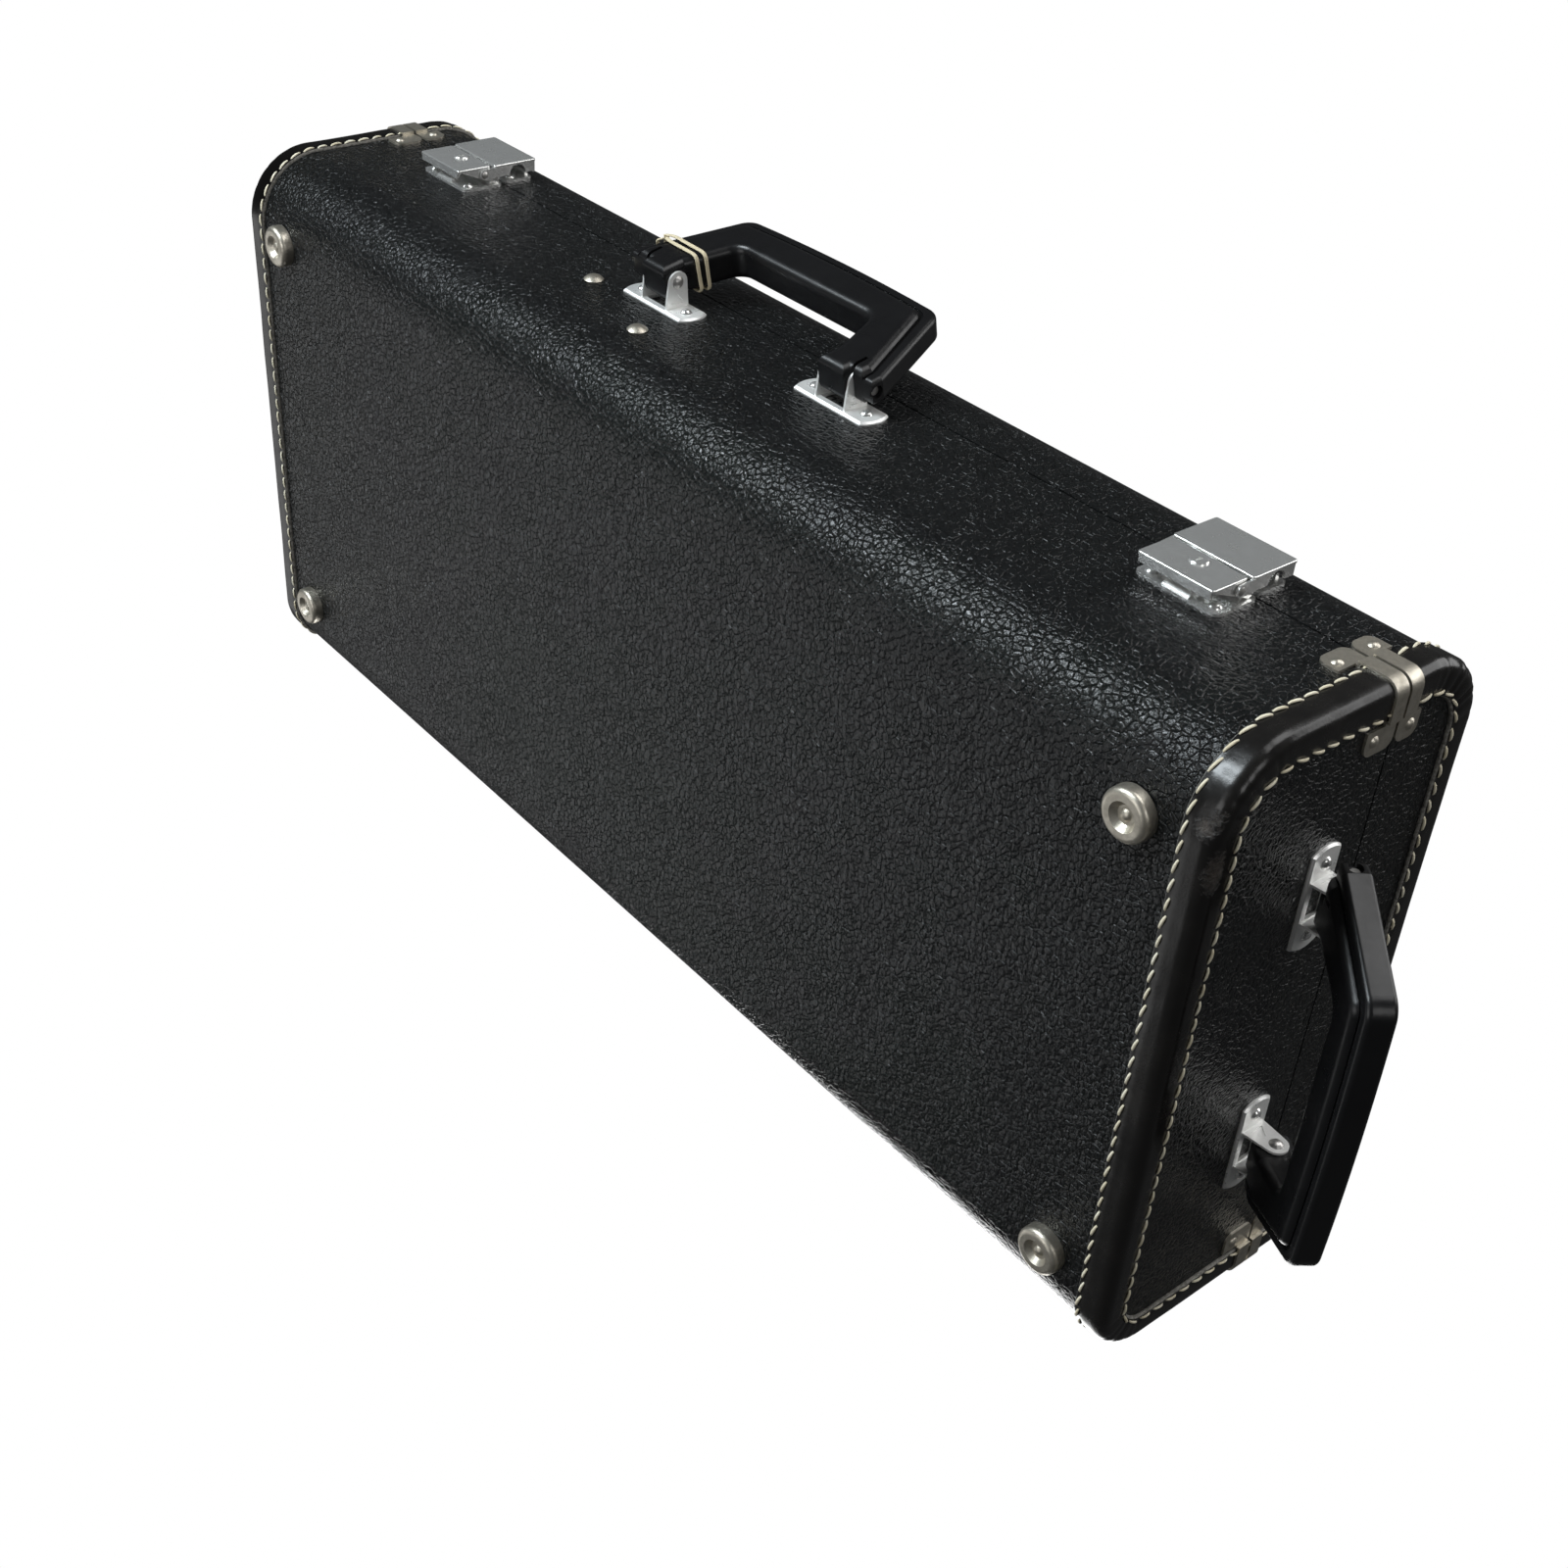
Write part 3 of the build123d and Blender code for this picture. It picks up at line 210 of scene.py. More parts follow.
# Binding: a strip of smooth brownish-black leatherette rolled over each end edge, glued and then
# sewn through on both sides. It gathers in small pleats round the tight corners, and its pale
# cloth backing shows along the two cut edges.
case_half_width = 138.0
case_bottom = 6.0
case_top = 139.0
seam_level = 92.0
seam_half_gap = 0.45
latch_corner_radius = 32.0
hinge_corner_radius = 25.0
case_half_length = 317.5
binding_thickness = 1.5
binding_on_side = 15.0
binding_on_end = 12.5
roll_radius = 5.0
stitch_line_on_side = 12.9
stitch_line_on_end = 10.5
stitch_pitch = 7.6
station_spacing = 1.9
corner_density = 1.6
# The cut edges slope from just under the cover to just short of the strip's outer face.
cut_sink = 0.02
cut_drop = 0.25
cut_run_on_side = 0.9
flat_from_side = 1.3
cut_run_on_end = 0.8
flat_from_end = 1.2
hidden_back = ((14.0, 0.05), (5.0, 0.05), (1.6, 3.5), (1.6, 11.5))
pleat_pitch = 6.6
pleat_depth = 1.15
pleat_drift = 2.2
pleat_sharpness = 0.55
pleat_level = 0.72
gather_elsewhere = 0.35
swell_height = 0.24
swell_detail = 0.25
stitch_pull = 0.42
stitch_pull_width = 2.6


def outline_stations(lid, spacing):
    """Stations along one half's outline, from the latch side's seam round to the hinge side's:
    each is (centre, outward direction, how far into a corner, radius)."""
    far = case_top if lid else case_bottom
    way = 1.0 if lid else -1.0
    start = seam_level + way * seam_half_gap
    latch_corner = Vector((-case_half_width + latch_corner_radius, far - way * latch_corner_radius))
    hinge_corner = Vector((case_half_width - hinge_corner_radius, far - way * hinge_corner_radius))
    stations = []

    def straight(a, b, direction, radius):
        steps = max(2, int((b - a).length / spacing))
        for i in range(steps):
            stations.append((a.lerp(b, i / steps), direction, 0.0, radius))

    def corner(centre, radius, from_angle, to_angle):
        steps = max(10, int(radius * pi / 2 / spacing * corner_density))
        for i in range(steps):
            share = i / steps
            angle = from_angle + (to_angle - from_angle) * share
            stations.append((centre, Vector((cos(angle), sin(angle))), sin(share * pi), radius))

    sideways, onward, back = Vector((-1.0, 0.0)), Vector((0.0, way)), Vector((1.0, 0.0))
    far_corner = Vector((hinge_corner.x, latch_corner.y))
    finish = Vector((hinge_corner.x, start))
    straight(Vector((latch_corner.x, start)), latch_corner, sideways, latch_corner_radius)
    corner(latch_corner, latch_corner_radius, pi, pi - way * pi / 2)
    straight(latch_corner, far_corner, onward, latch_corner_radius)
    corner(hinge_corner, hinge_corner_radius, way * pi / 2, 0.0)
    straight(hinge_corner, finish, back, hinge_corner_radius)
    stations.append((finish, back, 0.0, hinge_corner_radius))
    return stations


def on_section(station, inset):
    """Where a station's outline lies when drawn in by inset, as (y, z)."""
    centre, direction, _, radius = station
    return centre + direction * (radius - inset)


def binding_profile():
    """The strip's section from its cut edge on the side, over the roll, to its cut edge on the end:
    each point is (distance in from the end, inset, share of the roll, is cut edge)."""
    side_steps, roll_steps, end_steps = 9, 7, 8
    points = [
        (binding_on_side, -cut_sink, 0.0, True),
        (binding_on_side - cut_run_on_side, -binding_thickness + cut_drop, 0.0, True),
    ]
    flat = binding_on_side - flat_from_side
    for i in range(side_steps):
        along = flat - (flat - roll_radius) * i / side_steps
        points.append((along, -binding_thickness, 0.0, False))
    for i in range(roll_steps + 1):
        turn = pi / 2 * i / roll_steps
        along = roll_radius * (1.0 - sin(turn))
        inset = -binding_thickness + roll_radius * (1.0 - cos(turn))
        points.append((along, inset, i / roll_steps, False))
    first_inset = roll_radius - binding_thickness
    for i in range(1, end_steps + 1):
        inset = first_inset + (binding_on_end - flat_from_end - first_inset) * i / end_steps
        points.append((0.0, inset, 1.0, False))
    points.append((cut_drop, binding_on_end - cut_run_on_end, 1.0, True))
    points.append((binding_thickness, binding_on_end, 1.0, True))
    return points


def mesh_object(name, vertices, faces, materials, face_slots=None):
    """A new object from plain lists, in metres."""
    mesh = bpy.data.meshes.new(name)
    mesh.from_pydata(vertices, [], faces)
    for material in materials:
        mesh.materials.append(material)
    for index, polygon in enumerate(mesh.polygons):
        polygon.use_smooth = True
        if face_slots:
            polygon.material_index = face_slots[index]
    mesh.update()
    thing = bpy.data.objects.new(name, mesh)
    bpy.context.scene.collection.objects.link(thing)
    return thing


def binding_surface(end, station, point, run):
    """A point of the strip's outer surface, with its pleats and its pull under the stitches."""
    along, inset, roll, cut = point
    y, z = on_section(station, inset)
    outward = Vector((0.0, station[1].x, station[1].y))
    lengthwise = Vector((end, 0.0, 0.0))
    facing = (outward * cos(roll * pi / 2) + lengthwise * sin(roll * pi / 2)).normalized()
    place = Vector((end * (case_half_length - along), y, z))
    if cut:
        return place
    fine = noise.noise(place * 0.09 + Vector((7.0, 0.0, 0.0)))
    swell = swell_height * (noise.noise(place * 0.030) + swell_detail * fine)
    gather = station[2] * (1.0 if y < 0.0 and z > seam_level else gather_elsewhere)
    drift = noise.noise(Vector((run * 0.09, end * 3.0, 0.3)))
    fold = abs(sin(pi * run / pleat_pitch + pleat_drift * drift)) ** pleat_sharpness
    pleat = gather * (0.35 + 0.65 * roll) * pleat_depth * (fold - pleat_level)
    from_stitch = stitch_pull_width
    if roll == 0.0:
        from_stitch = abs(along - stitch_line_on_side)
    elif roll == 1.0:
        from_stitch = abs(inset - stitch_line_on_end)
    beat = 0.5 + 0.5 * cos(2.0 * pi * run / stitch_pitch)
    sunk = stitch_pull * max(1.0 - from_stitch / stitch_pull_width, 0.0) * (0.55 + 0.45 * beat)
    return place + facing * (swell + pleat - sunk)


binding_leather, tree, shader = new_material(
    "smooth brownish-black binding", (0.010, 0.0080, 0.0068), 0.24
)
points = object_points(tree)
scuffs = noise_value(tree, points, 60.0, 5.0, 0.7)
leather_color = ramp(
    tree,
    scuffs,
    [
        (0.35, (0.0080, 0.0074, 0.0070)),
        (0.65, (0.0105, 0.0095, 0.0086)),
        (0.85, (0.022, 0.019, 0.017)),
    ],
)
ramp_to(tree, shader.inputs["Roughness"], scuffs, [(0.35, grey(0.20)), (0.80, grey(0.36))])
shader.inputs["Specular IOR Level"].default_value = 0.42
first = bump(tree, shader, noise_value(tree, points, 70.0, 1.0), 0.00035)
second = bump(tree, shader, noise_value(tree, points, 900.0, 3.0), 0.00004, first)

# Three small tears by the right end's lower corner, each a place and how far it is spread along Y.
tears = (
    ((0.3160, -0.1180, 0.0045), 0.75),
    ((0.3175, -0.0975, 0.0078), 0.45),
    ((0.3120, -0.1130, 0.0045), 0.9),
)
torn_color = (0.060, 0.050, 0.042, 1.0)
ragged = noise_value(tree, points, 520.0, 4.0, 0.7)
whole = 1.0
for (x, y, z), stretch in tears:
    away = calculated(
        tree,
        "DISTANCE",
        object_points(tree, (1.0, stretch, 1.0)),
        (x, y * stretch, z),
        kind="VectorMath",
    )
    rough_edge = calculated(tree, "MULTIPLY_ADD", ragged, 0.0075, away)
    kept = ramp(tree, rough_edge, [(0.0064, grey(0.0)), (0.0070, grey(1.0))])
    whole = calculated(tree, "MULTIPLY", whole, kept)
torn = tree.nodes.new("ShaderNodeMix")
torn.data_type = "RGBA"
tree.links.new(whole, torn.inputs["Factor"])
torn.inputs["A"].default_value = torn_color
tree.links.new(leather_color, torn.inputs["B"])
tree.links.new(torn.outputs["Result"], shader.inputs["Base Color"])
bump(tree, shader, whole, 0.0007, second)

cut_cloth, tree, shader = new_material("pale cut edge of the binding", (0.30, 0.29, 0.26), 0.9)
fray = noise_value(tree, object_points(tree), 700.0, 4.0, 0.7)
fray_stops = [(0.30, (0.05, 0.045, 0.04)), (0.55, (0.27, 0.26, 0.235)), (0.8, (0.42, 0.40, 0.36))]
ramp_to(tree, shader.inputs["Base Color"], fray, fray_stops)
bump(tree, shader, fray, 0.0004)

profile = binding_profile()
width = len(profile) + len(hidden_back)
cut_edges = {j for j in range(len(profile) - 1) if profile[j][3] and profile[j + 1][3]}
for body, lid in (("base", False), ("lid", True)):
    stations = outline_stations(lid, station_spacing)
    for hand, end in (("left", -1.0), ("right", 1.0)):
        vertices, faces, slots = [], [], []
        run = 0.0
        before = None
        for station in stations:
            y, z = on_section(station, 0.0)
            if before is not None:
                run += hypot(y - before[0], z - before[1])
            before = (y, z)
            ring = [binding_surface(end, station, point, run) for point in profile]
            ring += [
                Vector((end * (case_half_length - along), *on_section(station, inset)))
                for along, inset in reversed(hidden_back)
            ]
            vertices += [point * MM for point in ring]
        for i in range(len(stations) - 1):
            for j in range(width):
                a, b = i * width + j, i * width + (j + 1) % width
                faces.append((a, b, b + width, a + width))
                slots.append(1 if j in cut_edges else 0)
        last = (len(stations) - 1) * width
        faces += [tuple(reversed(range(width))), tuple(range(last, last + width))]
        slots += [0, 0]
        if (end > 0) == lid:
            faces = [tuple(reversed(face)) for face in faces]
        materials = [binding_leather, cut_cloth]
        name = f"binding_{body}_{hand}"
        strip = mesh_object(name, vertices, faces, materials, face_slots=slots)
        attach(strip, body)
        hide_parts(f"{body}_binding_{hand}")

# Stitches: thick cream waxed thread, two rows of slanted running stitches along each strip of
# binding, each one sunk a little into the leatherette.
stitch_length = 6.0
stitch_half_width = 0.62
stitch_slant = 0.20
stitch_rings = 7
stitch_sides = 8
stitch_spread = 0.12
stitch_station_spacing = 0.6
first_stitch = 0.62 * stitch_pitch
thread_color = (0.78, 0.72, 0.55)

thread, tree, shader = new_material("cream waxed thread", thread_color, 0.62)
points = object_points(tree)
thread_stops = [(0.32, (0.60, 0.53, 0.37)), (0.52, thread_color), (0.75, (0.86, 0.82, 0.68))]
ramp_to(tree, shader.inputs["Base Color"], noise_value(tree, points, 120.0, 4.0), thread_stops)
bump(tree, shader, noise_value(tree, points, 1900.0, 2.0), 0.0002)


def add_stitch(vertices, faces, place, along, facing, size):
    """One stitch: a bowed, tapered bead of thread with both ends sunk in."""
    across = along.cross(facing).normalized()
    first = len(vertices)
    for ring in range(stitch_rings):
        share = ring / (stitch_rings - 1)
        fullness = sin(pi * min(max(share, 0.02), 0.98)) ** 0.35
        thick = stitch_half_width * size * (0.35 + 0.65 * fullness)
        lift = 0.50 * sin(pi * share) ** 0.6 - 0.30 if 0.0 < share < 1.0 else -0.35
        middle = place + along * (share - 0.5) * stitch_length * size + facing * lift
        for side in range(stitch_sides):
            angle = 2.0 * pi * side / stitch_sides
            spoke = across * cos(angle) + facing * sin(angle) * 0.8
            vertices.append((middle + spoke * thick) * MM)
    for ring in range(stitch_rings - 1):
        for side in range(stitch_sides):
            a = first + ring * stitch_sides + side
            b = first + ring * stitch_sides + (side + 1) % stitch_sides
            faces.append((a, b, b + stitch_sides, a + stitch_sides))
    faces.append(tuple(reversed(range(first, first + stitch_sides))))
    last = first + (stitch_rings - 1) * stitch_sides
    faces.append(tuple(range(last, last + stitch_sides)))


def rows_of_stitches(end, lid):
    """All the stitches of one strip: a row on the side and a row on the end."""
    vertices, faces = [], []
    stations = outline_stations(lid, stitch_station_spacing)
    slant = stitch_slant if (end > 0) != lid else -stitch_slant
    for on_end in (False, True):
        inset = stitch_line_on_end if on_end else -binding_thickness
        x = end * (case_half_length - (0.0 if on_end else stitch_line_on_side))
        path = [Vector((x, *on_section(station, inset))) for station in stations]
        wanted = first_stitch
        gone = 0.0
        for here, there, station in zip(path, path[1:], stations):
            step = (there - here).length
            if gone + step >= wanted and step > 0.0:
                spot = here.lerp(there, (wanted - gone) / step)
                along = (there - here).normalized()
                facing = Vector((0.0, station[1].x, station[1].y))
                if on_end:
                    facing = Vector((end, 0.0, 0.0))
                chance = noise.noise(spot * 0.9)
                sideways = along.cross(facing).normalized()
                along = (along + sideways * (slant + stitch_spread * chance)).normalized()
                spot += sideways * 0.25 * chance
                add_stitch(vertices, faces, spot, along, facing, 1.0 + stitch_spread * chance)
                wanted += stitch_pitch * (1.0 + 0.05 * chance)
            gone += step
    return vertices, faces


for body, lid in (("base", False), ("lid", True)):
    for hand, end in (("left", -1.0), ("right", 1.0)):
        vertices, faces = rows_of_stitches(end, lid)
        stitches = mesh_object(f"stitches_{body}_{hand}", vertices, faces, [thread])
        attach(stitches, body)

# Nickel: the feet with their nails, the corner clips, the round rivet heads and the hinges are
# plated steel that has gone dull and warm, with bright rubbed spots. The pins are plain steel.


def worn_metal(name, dull, bright, roughness, pits, haze=0.9):
    """Plated metal with dull patches, rubbed spots and small pits, less metallic where hazed."""
    material, tree, shader = new_material(name, dull, roughness)
    shader.inputs["Metallic"].default_value = haze
    points = object_points(tree)
    patches = noise_value(tree, points, 140.0, 5.0, 0.65)
    ramp_to(tree, shader.inputs["Base Color"], patches, [(0.35, dull), (0.68, bright)])
    shine_stops = [(0.30, grey(roughness + 0.14)), (0.70, grey(roughness - 0.06))]
    ramp_to(tree, shader.inputs["Roughness"], patches, shine_stops)
    bump(tree, shader, noise_value(tree, points, 900.0, 4.0, 0.7), pits)
    return material


nickel = worn_metal("dull warm nickel", (0.37, 0.342, 0.285), (0.64, 0.60, 0.515), 0.36, 0.00010)
steel = worn_metal("plain steel pin", (0.32, 0.31, 0.30), (0.55, 0.54, 0.52), 0.34, 0.00006)
for node in nodes.values():
    group = node.name.rstrip("0123456789.")
    if group.endswith("_pins") or group.startswith("hasp_pin"):
        dress(node, steel)
    elif group.endswith(("_clips", "_clip_rivets")) or group == "side_rivets":
        dress(node, nickel)
    elif group.startswith("foot_") or "hinge" in group:
        dress(node, nickel)

# Latches and handle brackets: pressed steel with bright chrome, dulled in patches by use. The
# plates, levers, hasps, lock plugs, strikes and all their rivets share it. The brackets are satin.
chrome = worn_metal(
    "bright worn chrome", (0.74, 0.74, 0.72), (0.90, 0.90, 0.88), 0.17, 0.000012, 0.80
)
satin = worn_metal("satin chrome", (0.80, 0.80, 0.78), (0.92, 0.92, 0.90), 0.30, 0.00002, 0.45)
for node in nodes.values():
    if node.name.startswith(("main_bracket", "end_bracket")):
        dress(node, satin)
    elif node.name.startswith(("latch_", "lock_plug", "strike", "bracket_rivets")):
        dress(node, chrome)

# Handles: two moulded yokes of glossy black plastic, rubbed dull in patches by use, and two turns
# of aged cream elastic round the left leg of the main one.
plastic, tree, shader = new_material("glossy black plastic", (0.006, 0.006, 0.0065), 0.24)
points = object_points(tree)
rubbed = noise_value(tree, points, 75.0, 5.0, 0.65)
ramp_to(tree, shader.inputs["Roughness"], rubbed, [(0.3, grey(0.24)), (0.75, grey(0.42))])
shader.inputs["Specular IOR Level"].default_value = 0.35
bump(tree, shader, noise_value(tree, points, 150.0, 2.0), 0.00010)
for name in ("main_grip", "end_grip"):
    dress(nodes[name], plastic)

elastic, tree, shader = new_material("aged cream elastic", (0.62, 0.54, 0.37), 0.75)
bump(tree, shader, noise_value(tree, object_points(tree), 1600.0, 2.0), 0.0003)

# The left leg's section: each corner is (across the case, out of the leg, rounding).
leg_section = (
    (-70.9, 8.8, 2.6),
    (-48.2, 8.8, 3.2),
    (-48.2, -8.8, 3.2),
    (-70.9, -8.8, 2.6),
    (-77.2, -6.2, 1.6),
    (-77.2, 6.2, 1.6),
)
leg_middle = -62.7
leg_lean = 0.36
leg_lean_from = 9.5
corner_steps = 4
edge_steps = 7
grip_angle = radians(78.0)
grip_pivot = Vector((0.0, -150.5, 71.0))
reach_way = Vector((0.0, -cos(grip_angle), sin(grip_angle)))
out_way = Vector((0.0, -sin(grip_angle), -cos(grip_angle)))
band_first_reach = 10.5
band_turn_step = 3.6
band_crossing = 0.09
band_wander = 0.45
band_over_itself = 0.12
band_half_width = 0.95
band_half_thickness = 0.5
band_sides = 10


def round_the_leg():
    """Points once round the leg's section, as (across, out), with its corners rounded."""
    points = []
    for index, (across, out, cut) in enumerate(leg_section):
        corner = Vector((across, out))
        before = Vector(leg_section[index - 1][:2])
        after_across, after_out, after_cut = leg_section[(index + 1) % len(leg_section)]
        after = Vector((after_across, after_out))
        start = corner + (before - corner).normalized() * cut
        end = corner + (after - corner).normalized() * cut
        for step in range(corner_steps + 1):
            share = step / corner_steps
            points.append(start.lerp(corner, share).lerp(corner.lerp(end, share), share))
        stop = after + (corner - after).normalized() * after_cut
        points += [end.lerp(stop, step / edge_steps) for step in range(1, edge_steps)]
    return points


once_round = round_the_leg()
band_path = []
for index in range(2 * len(once_round)):
    across, out = once_round[index % len(once_round)]
    turn, share = divmod(index / len(once_round), 1.0)
    crossing = min(share, 1.0 - share) / band_crossing
    side = -1.0 if turn == 0 else 1.0
    lift = 1.0
    if crossing < 1.0:
        side *= sin(crossing * pi / 2)
        lift += band_over_itself * (1.0 - crossing) * turn
    wander = band_wander * noise.noise(Vector((share * 5.0, turn * 7.0, 0.5)))
    reach = band_first_reach + band_turn_step * (0.5 + 0.5 * side) + wander
    across = leg_middle + (across - leg_middle) * lift + leg_lean * (reach - leg_lean_from)
    sideways = Vector((across, 0.0, 0.0))
    band_path.append(grip_pivot + sideways + out_way * out * lift + reach_way * reach)
vertices, faces = [], []
for index, point in enumerate(band_path):
    along = (band_path[(index + 1) % len(band_path)] - band_path[index - 1]).normalized()
    reach = (point - grip_pivot).dot(reach_way)
    away = point - (grip_pivot + Vector((leg_middle, 0.0, 0.0)) + reach_way * reach)
    away = (away - along * away.dot(along)).normalized()
    flat = along.cross(away)
    for side in range(band_sides):
        angle = 2.0 * pi * side / band_sides
        spoke = flat * cos(angle) * band_half_width + away * sin(angle) * band_half_thickness
        vertices.append((point + spoke) * MM)
        here = index * band_sides
        there = (index + 1) % len(band_path) * band_sides
        following = (side + 1) % band_sides
        faces.append((here + side, here + following, there + following, there + side))
wound_band = mesh_object("wound_elastic", vertices, faces, [elastic])
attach(wound_band, "main_grip")
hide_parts("elastic_band")

# Rim: a frame of dark stained wood glued inside the base's mouth, where it guides the lid on. It
# has worn paler along its grain.
stained_wood, tree, shader = new_material("dark stained wood", (0.055, 0.028, 0.014), 0.45)
wood_grain = noise_value(tree, object_points(tree, (1.0, 14.0, 14.0)), 22.0, 6.0, 0.6)
wood_stops = [(0.3, (0.028, 0.013, 0.007)), (0.7, (0.085, 0.045, 0.022))]
ramp_to(tree, shader.inputs["Base Color"], wood_grain, wood_stops)
bump(tree, shader, wood_grain, 0.0003)
dress(nodes["base_rim"], stained_wood)

# Blocks and accessory box: wood and pressed board under glued wine-red plush, so that every edge
# is softly rounded and the pile is brushed in patches.
plush, tree, shader = new_material("wine-red plush", (0.125, 0.012, 0.020), 0.9)
points = object_points(tree)
plush_stops = [(0.3, (0.085, 0.007, 0.013)), (0.7, (0.165, 0.018, 0.028))]
ramp_to(tree, shader.inputs["Base Color"], noise_value(tree, points, 34.0, 4.0), plush_stops)
first = bump(tree, shader, noise_value(tree, points, 30.0, 2.0), 0.0012)
bump(tree, shader, noise_value(tree, points, 1500.0, 3.0, 0.8), 0.0006, first)
shader.inputs["Sheen Weight"].default_value = 0.6
shader.inputs["Sheen Roughness"].default_value = 0.4
plush_round = 1.8
plush_pieces = ("bow_block", "bell_block", "body_saddle", "accessory_box")


def copied(name, piece_name):
    """A new object with a CAD node's shape, in the part's frame, with its shared points joined."""
    mesh = nodes[name].data.copy()
    mesh.transform(nodes[name].matrix_world)
    mesh.materials.clear()
    work = bmesh.new()
    work.from_mesh(mesh)
    bmesh.ops.remove_doubles(work, verts=work.verts, dist=0.00002)
    bmesh.ops.dissolve_limit(work, angle_limit=0.02, verts=work.verts, edges=work.edges)
    work.to_mesh(mesh)
    work.free()
    thing = bpy.data.objects.new(piece_name, mesh)
    bpy.context.scene.collection.objects.link(thing)
    return thing


def apply_modifiers(thing):
    """Keep the shape that a piece's modifiers give, and drop them."""
    bpy.context.view_layer.update()
    shaped = thing.evaluated_get(bpy.context.evaluated_depsgraph_get())
    mesh = bpy.data.meshes.new_from_object(shaped)
    thing.modifiers.clear()
    thing.data = mesh
    for polygon in mesh.polygons:
        polygon.use_smooth = True


for name in plush_pieces:
    block = copied(name, f"{name}_plush")
    rounding = block.modifiers.new("rounding", "BEVEL")
    rounding.width = plush_round * MM
    rounding.segments = 3
    rounding.limit_method = "ANGLE"
    rounding.angle_limit = 0.6
    rounding.use_clamp_overlap = True
    apply_modifiers(block)
    block.modifiers.new("shading", "WEIGHTED_NORMAL")
    block.data.materials.append(plush)
    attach(block, "base")
    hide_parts(name)

# Floor pad and lid cushion: foam under the same plush, glued to the wood and swelled by the cloth
# solver. The pad stays flat under the blocks, and the cushion is sewn through across its width.
pad_voxel = 5.5
glued_height = 2.0
cloth_frames = 20
edge_fade = 30.0
held_gap = 2.0
held_fade = 18.0
floor_swell = 1.8
cushion_swell = 2.2
cushion_panels = 4
sewn_half_width = 9.0
sewn_depth = 4.5
pucker_pitch = 13.0


def unit(value):
    """A value held between 0 and 1."""
    return min(max(value, 0.0), 1.0)


def stuffed(name, piece_name, open_way, most, pressure, held_down=()):
    """A pad swelled from its CAD solid towards its open side (open_way up or down), at most by
    most, and not at all where other pieces sit on it."""
    pad = copied(name, piece_name)
    remesh = pad.modifiers.new("remesh", "REMESH")
    remesh.mode = "VOXEL"
    remesh.voxel_size = pad_voxel * MM
    apply_modifiers(pad)
    start = [vertex.co.copy() for vertex in pad.data.vertices]
    glued_level = min(open_way * point.z for point in start)
    open_level = max(open_way * point.z for point in start)
    glued = pad.vertex_groups.new(name="glued")
    glued_top = glued_level + glued_height * MM
    low = [i for i, point in enumerate(start) if open_way * point.z < glued_top]
    glued.add(low, 1.0, "REPLACE")
    cloth = pad.modifiers.new("cloth", "CLOTH")
    cloth.settings.quality = 4
    cloth.settings.use_pressure = True
    cloth.settings.uniform_pressure_force = pressure
    cloth.settings.effector_weights.gravity = 0.0
    cloth.settings.vertex_group_mass = "glued"
    cloth.point_cache.frame_end = cloth_frames
    for step in range(1, cloth_frames + 1):
        bpy.context.scene.frame_set(step)
    apply_modifiers(pad)
    bpy.context.scene.frame_set(1)
    lows = [min(point[axis] for point in start) for axis in (0, 1)]
    highs = [max(point[axis] for point in start) for axis in (0, 1)]
    for point, vertex in zip(start, pad.data.vertices):
        swelled = open_way * (vertex.co.z - point.z)
        height = (open_way * point.z - glued_level) / (open_level - glued_level)
        rise = min(max(swelled, 0.0), most * MM) * unit(height)
        edge = min(min(point[axis] - lows[axis], highs[axis] - point[axis]) for axis in (0, 1))
        rise *= min(1.0, edge / (edge_fade * MM))
        for low, high in held_down:
            apart = max(low.x - point.x, point.x - high.x, low.y - point.y, point.y - high.y)
            rise *= unit((apart - held_gap * MM) / (held_fade * MM))
        vertex.co = point + Vector((0.0, 0.0, open_way * rise))
    pad.data.materials.append(plush)
    return pad


blocks = [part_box(name) for name in plush_pieces]
floor_pad = stuffed("base_lining", "floor_pad_plush", 1.0, floor_swell, 4.0, blocks)
lid_cushion = stuffed("lid_pad", "lid_cushion_plush", -1.0, cushion_swell, 5.0)
cushion_low, cushion_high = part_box("lid_pad")
panel_length = (cushion_high.x - cushion_low.x) / cushion_panels
cushion_thickness = cushion_high.z - cushion_low.z
for vertex in lid_cushion.data.vertices:
    from_seam = (vertex.co.x - cushion_low.x) % panel_length
    from_seam = min(from_seam, panel_length - from_seam)
    edge = min(vertex.co.x - cushion_low.x, cushion_high.x - vertex.co.x)
    if edge < 0.5 * panel_length or from_seam > sewn_half_width * MM:
        continue
    share = 1.0 - from_seam / (sewn_half_width * MM)
    pucker = 0.8 + 0.2 * cos(2.0 * pi * vertex.co.y / (pucker_pitch * MM))
    open_share = unit((cushion_high.z - vertex.co.z) / cushion_thickness)
    vertex.co.z += sewn_depth * MM * share * share * pucker * open_share
for pad, body, name in ((floor_pad, "base", "base_lining"), (lid_cushion, "lid", "lid_pad")):
    smoother = pad.modifiers.new("subdivision", "SUBSURF")
    smoother.levels = 1
    smoother.render_levels = 1
    apply_modifiers(pad)
    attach(pad, body)
    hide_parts(name)

# Studio: a pale floor under the feet that only the camera sees, and only from above, and that
# fades into a white world. The black cover mirrors a dark room in the photograph, so reflections
# get a small share of that white. Soft lamps stand all round, since the photograph looks up.
floor_half = 40.0
floor_fade_scale = 0.25
reflected_share = 0.03
room_light = 0.03
case_middle = Vector((0.0, 0.0, 0.07))

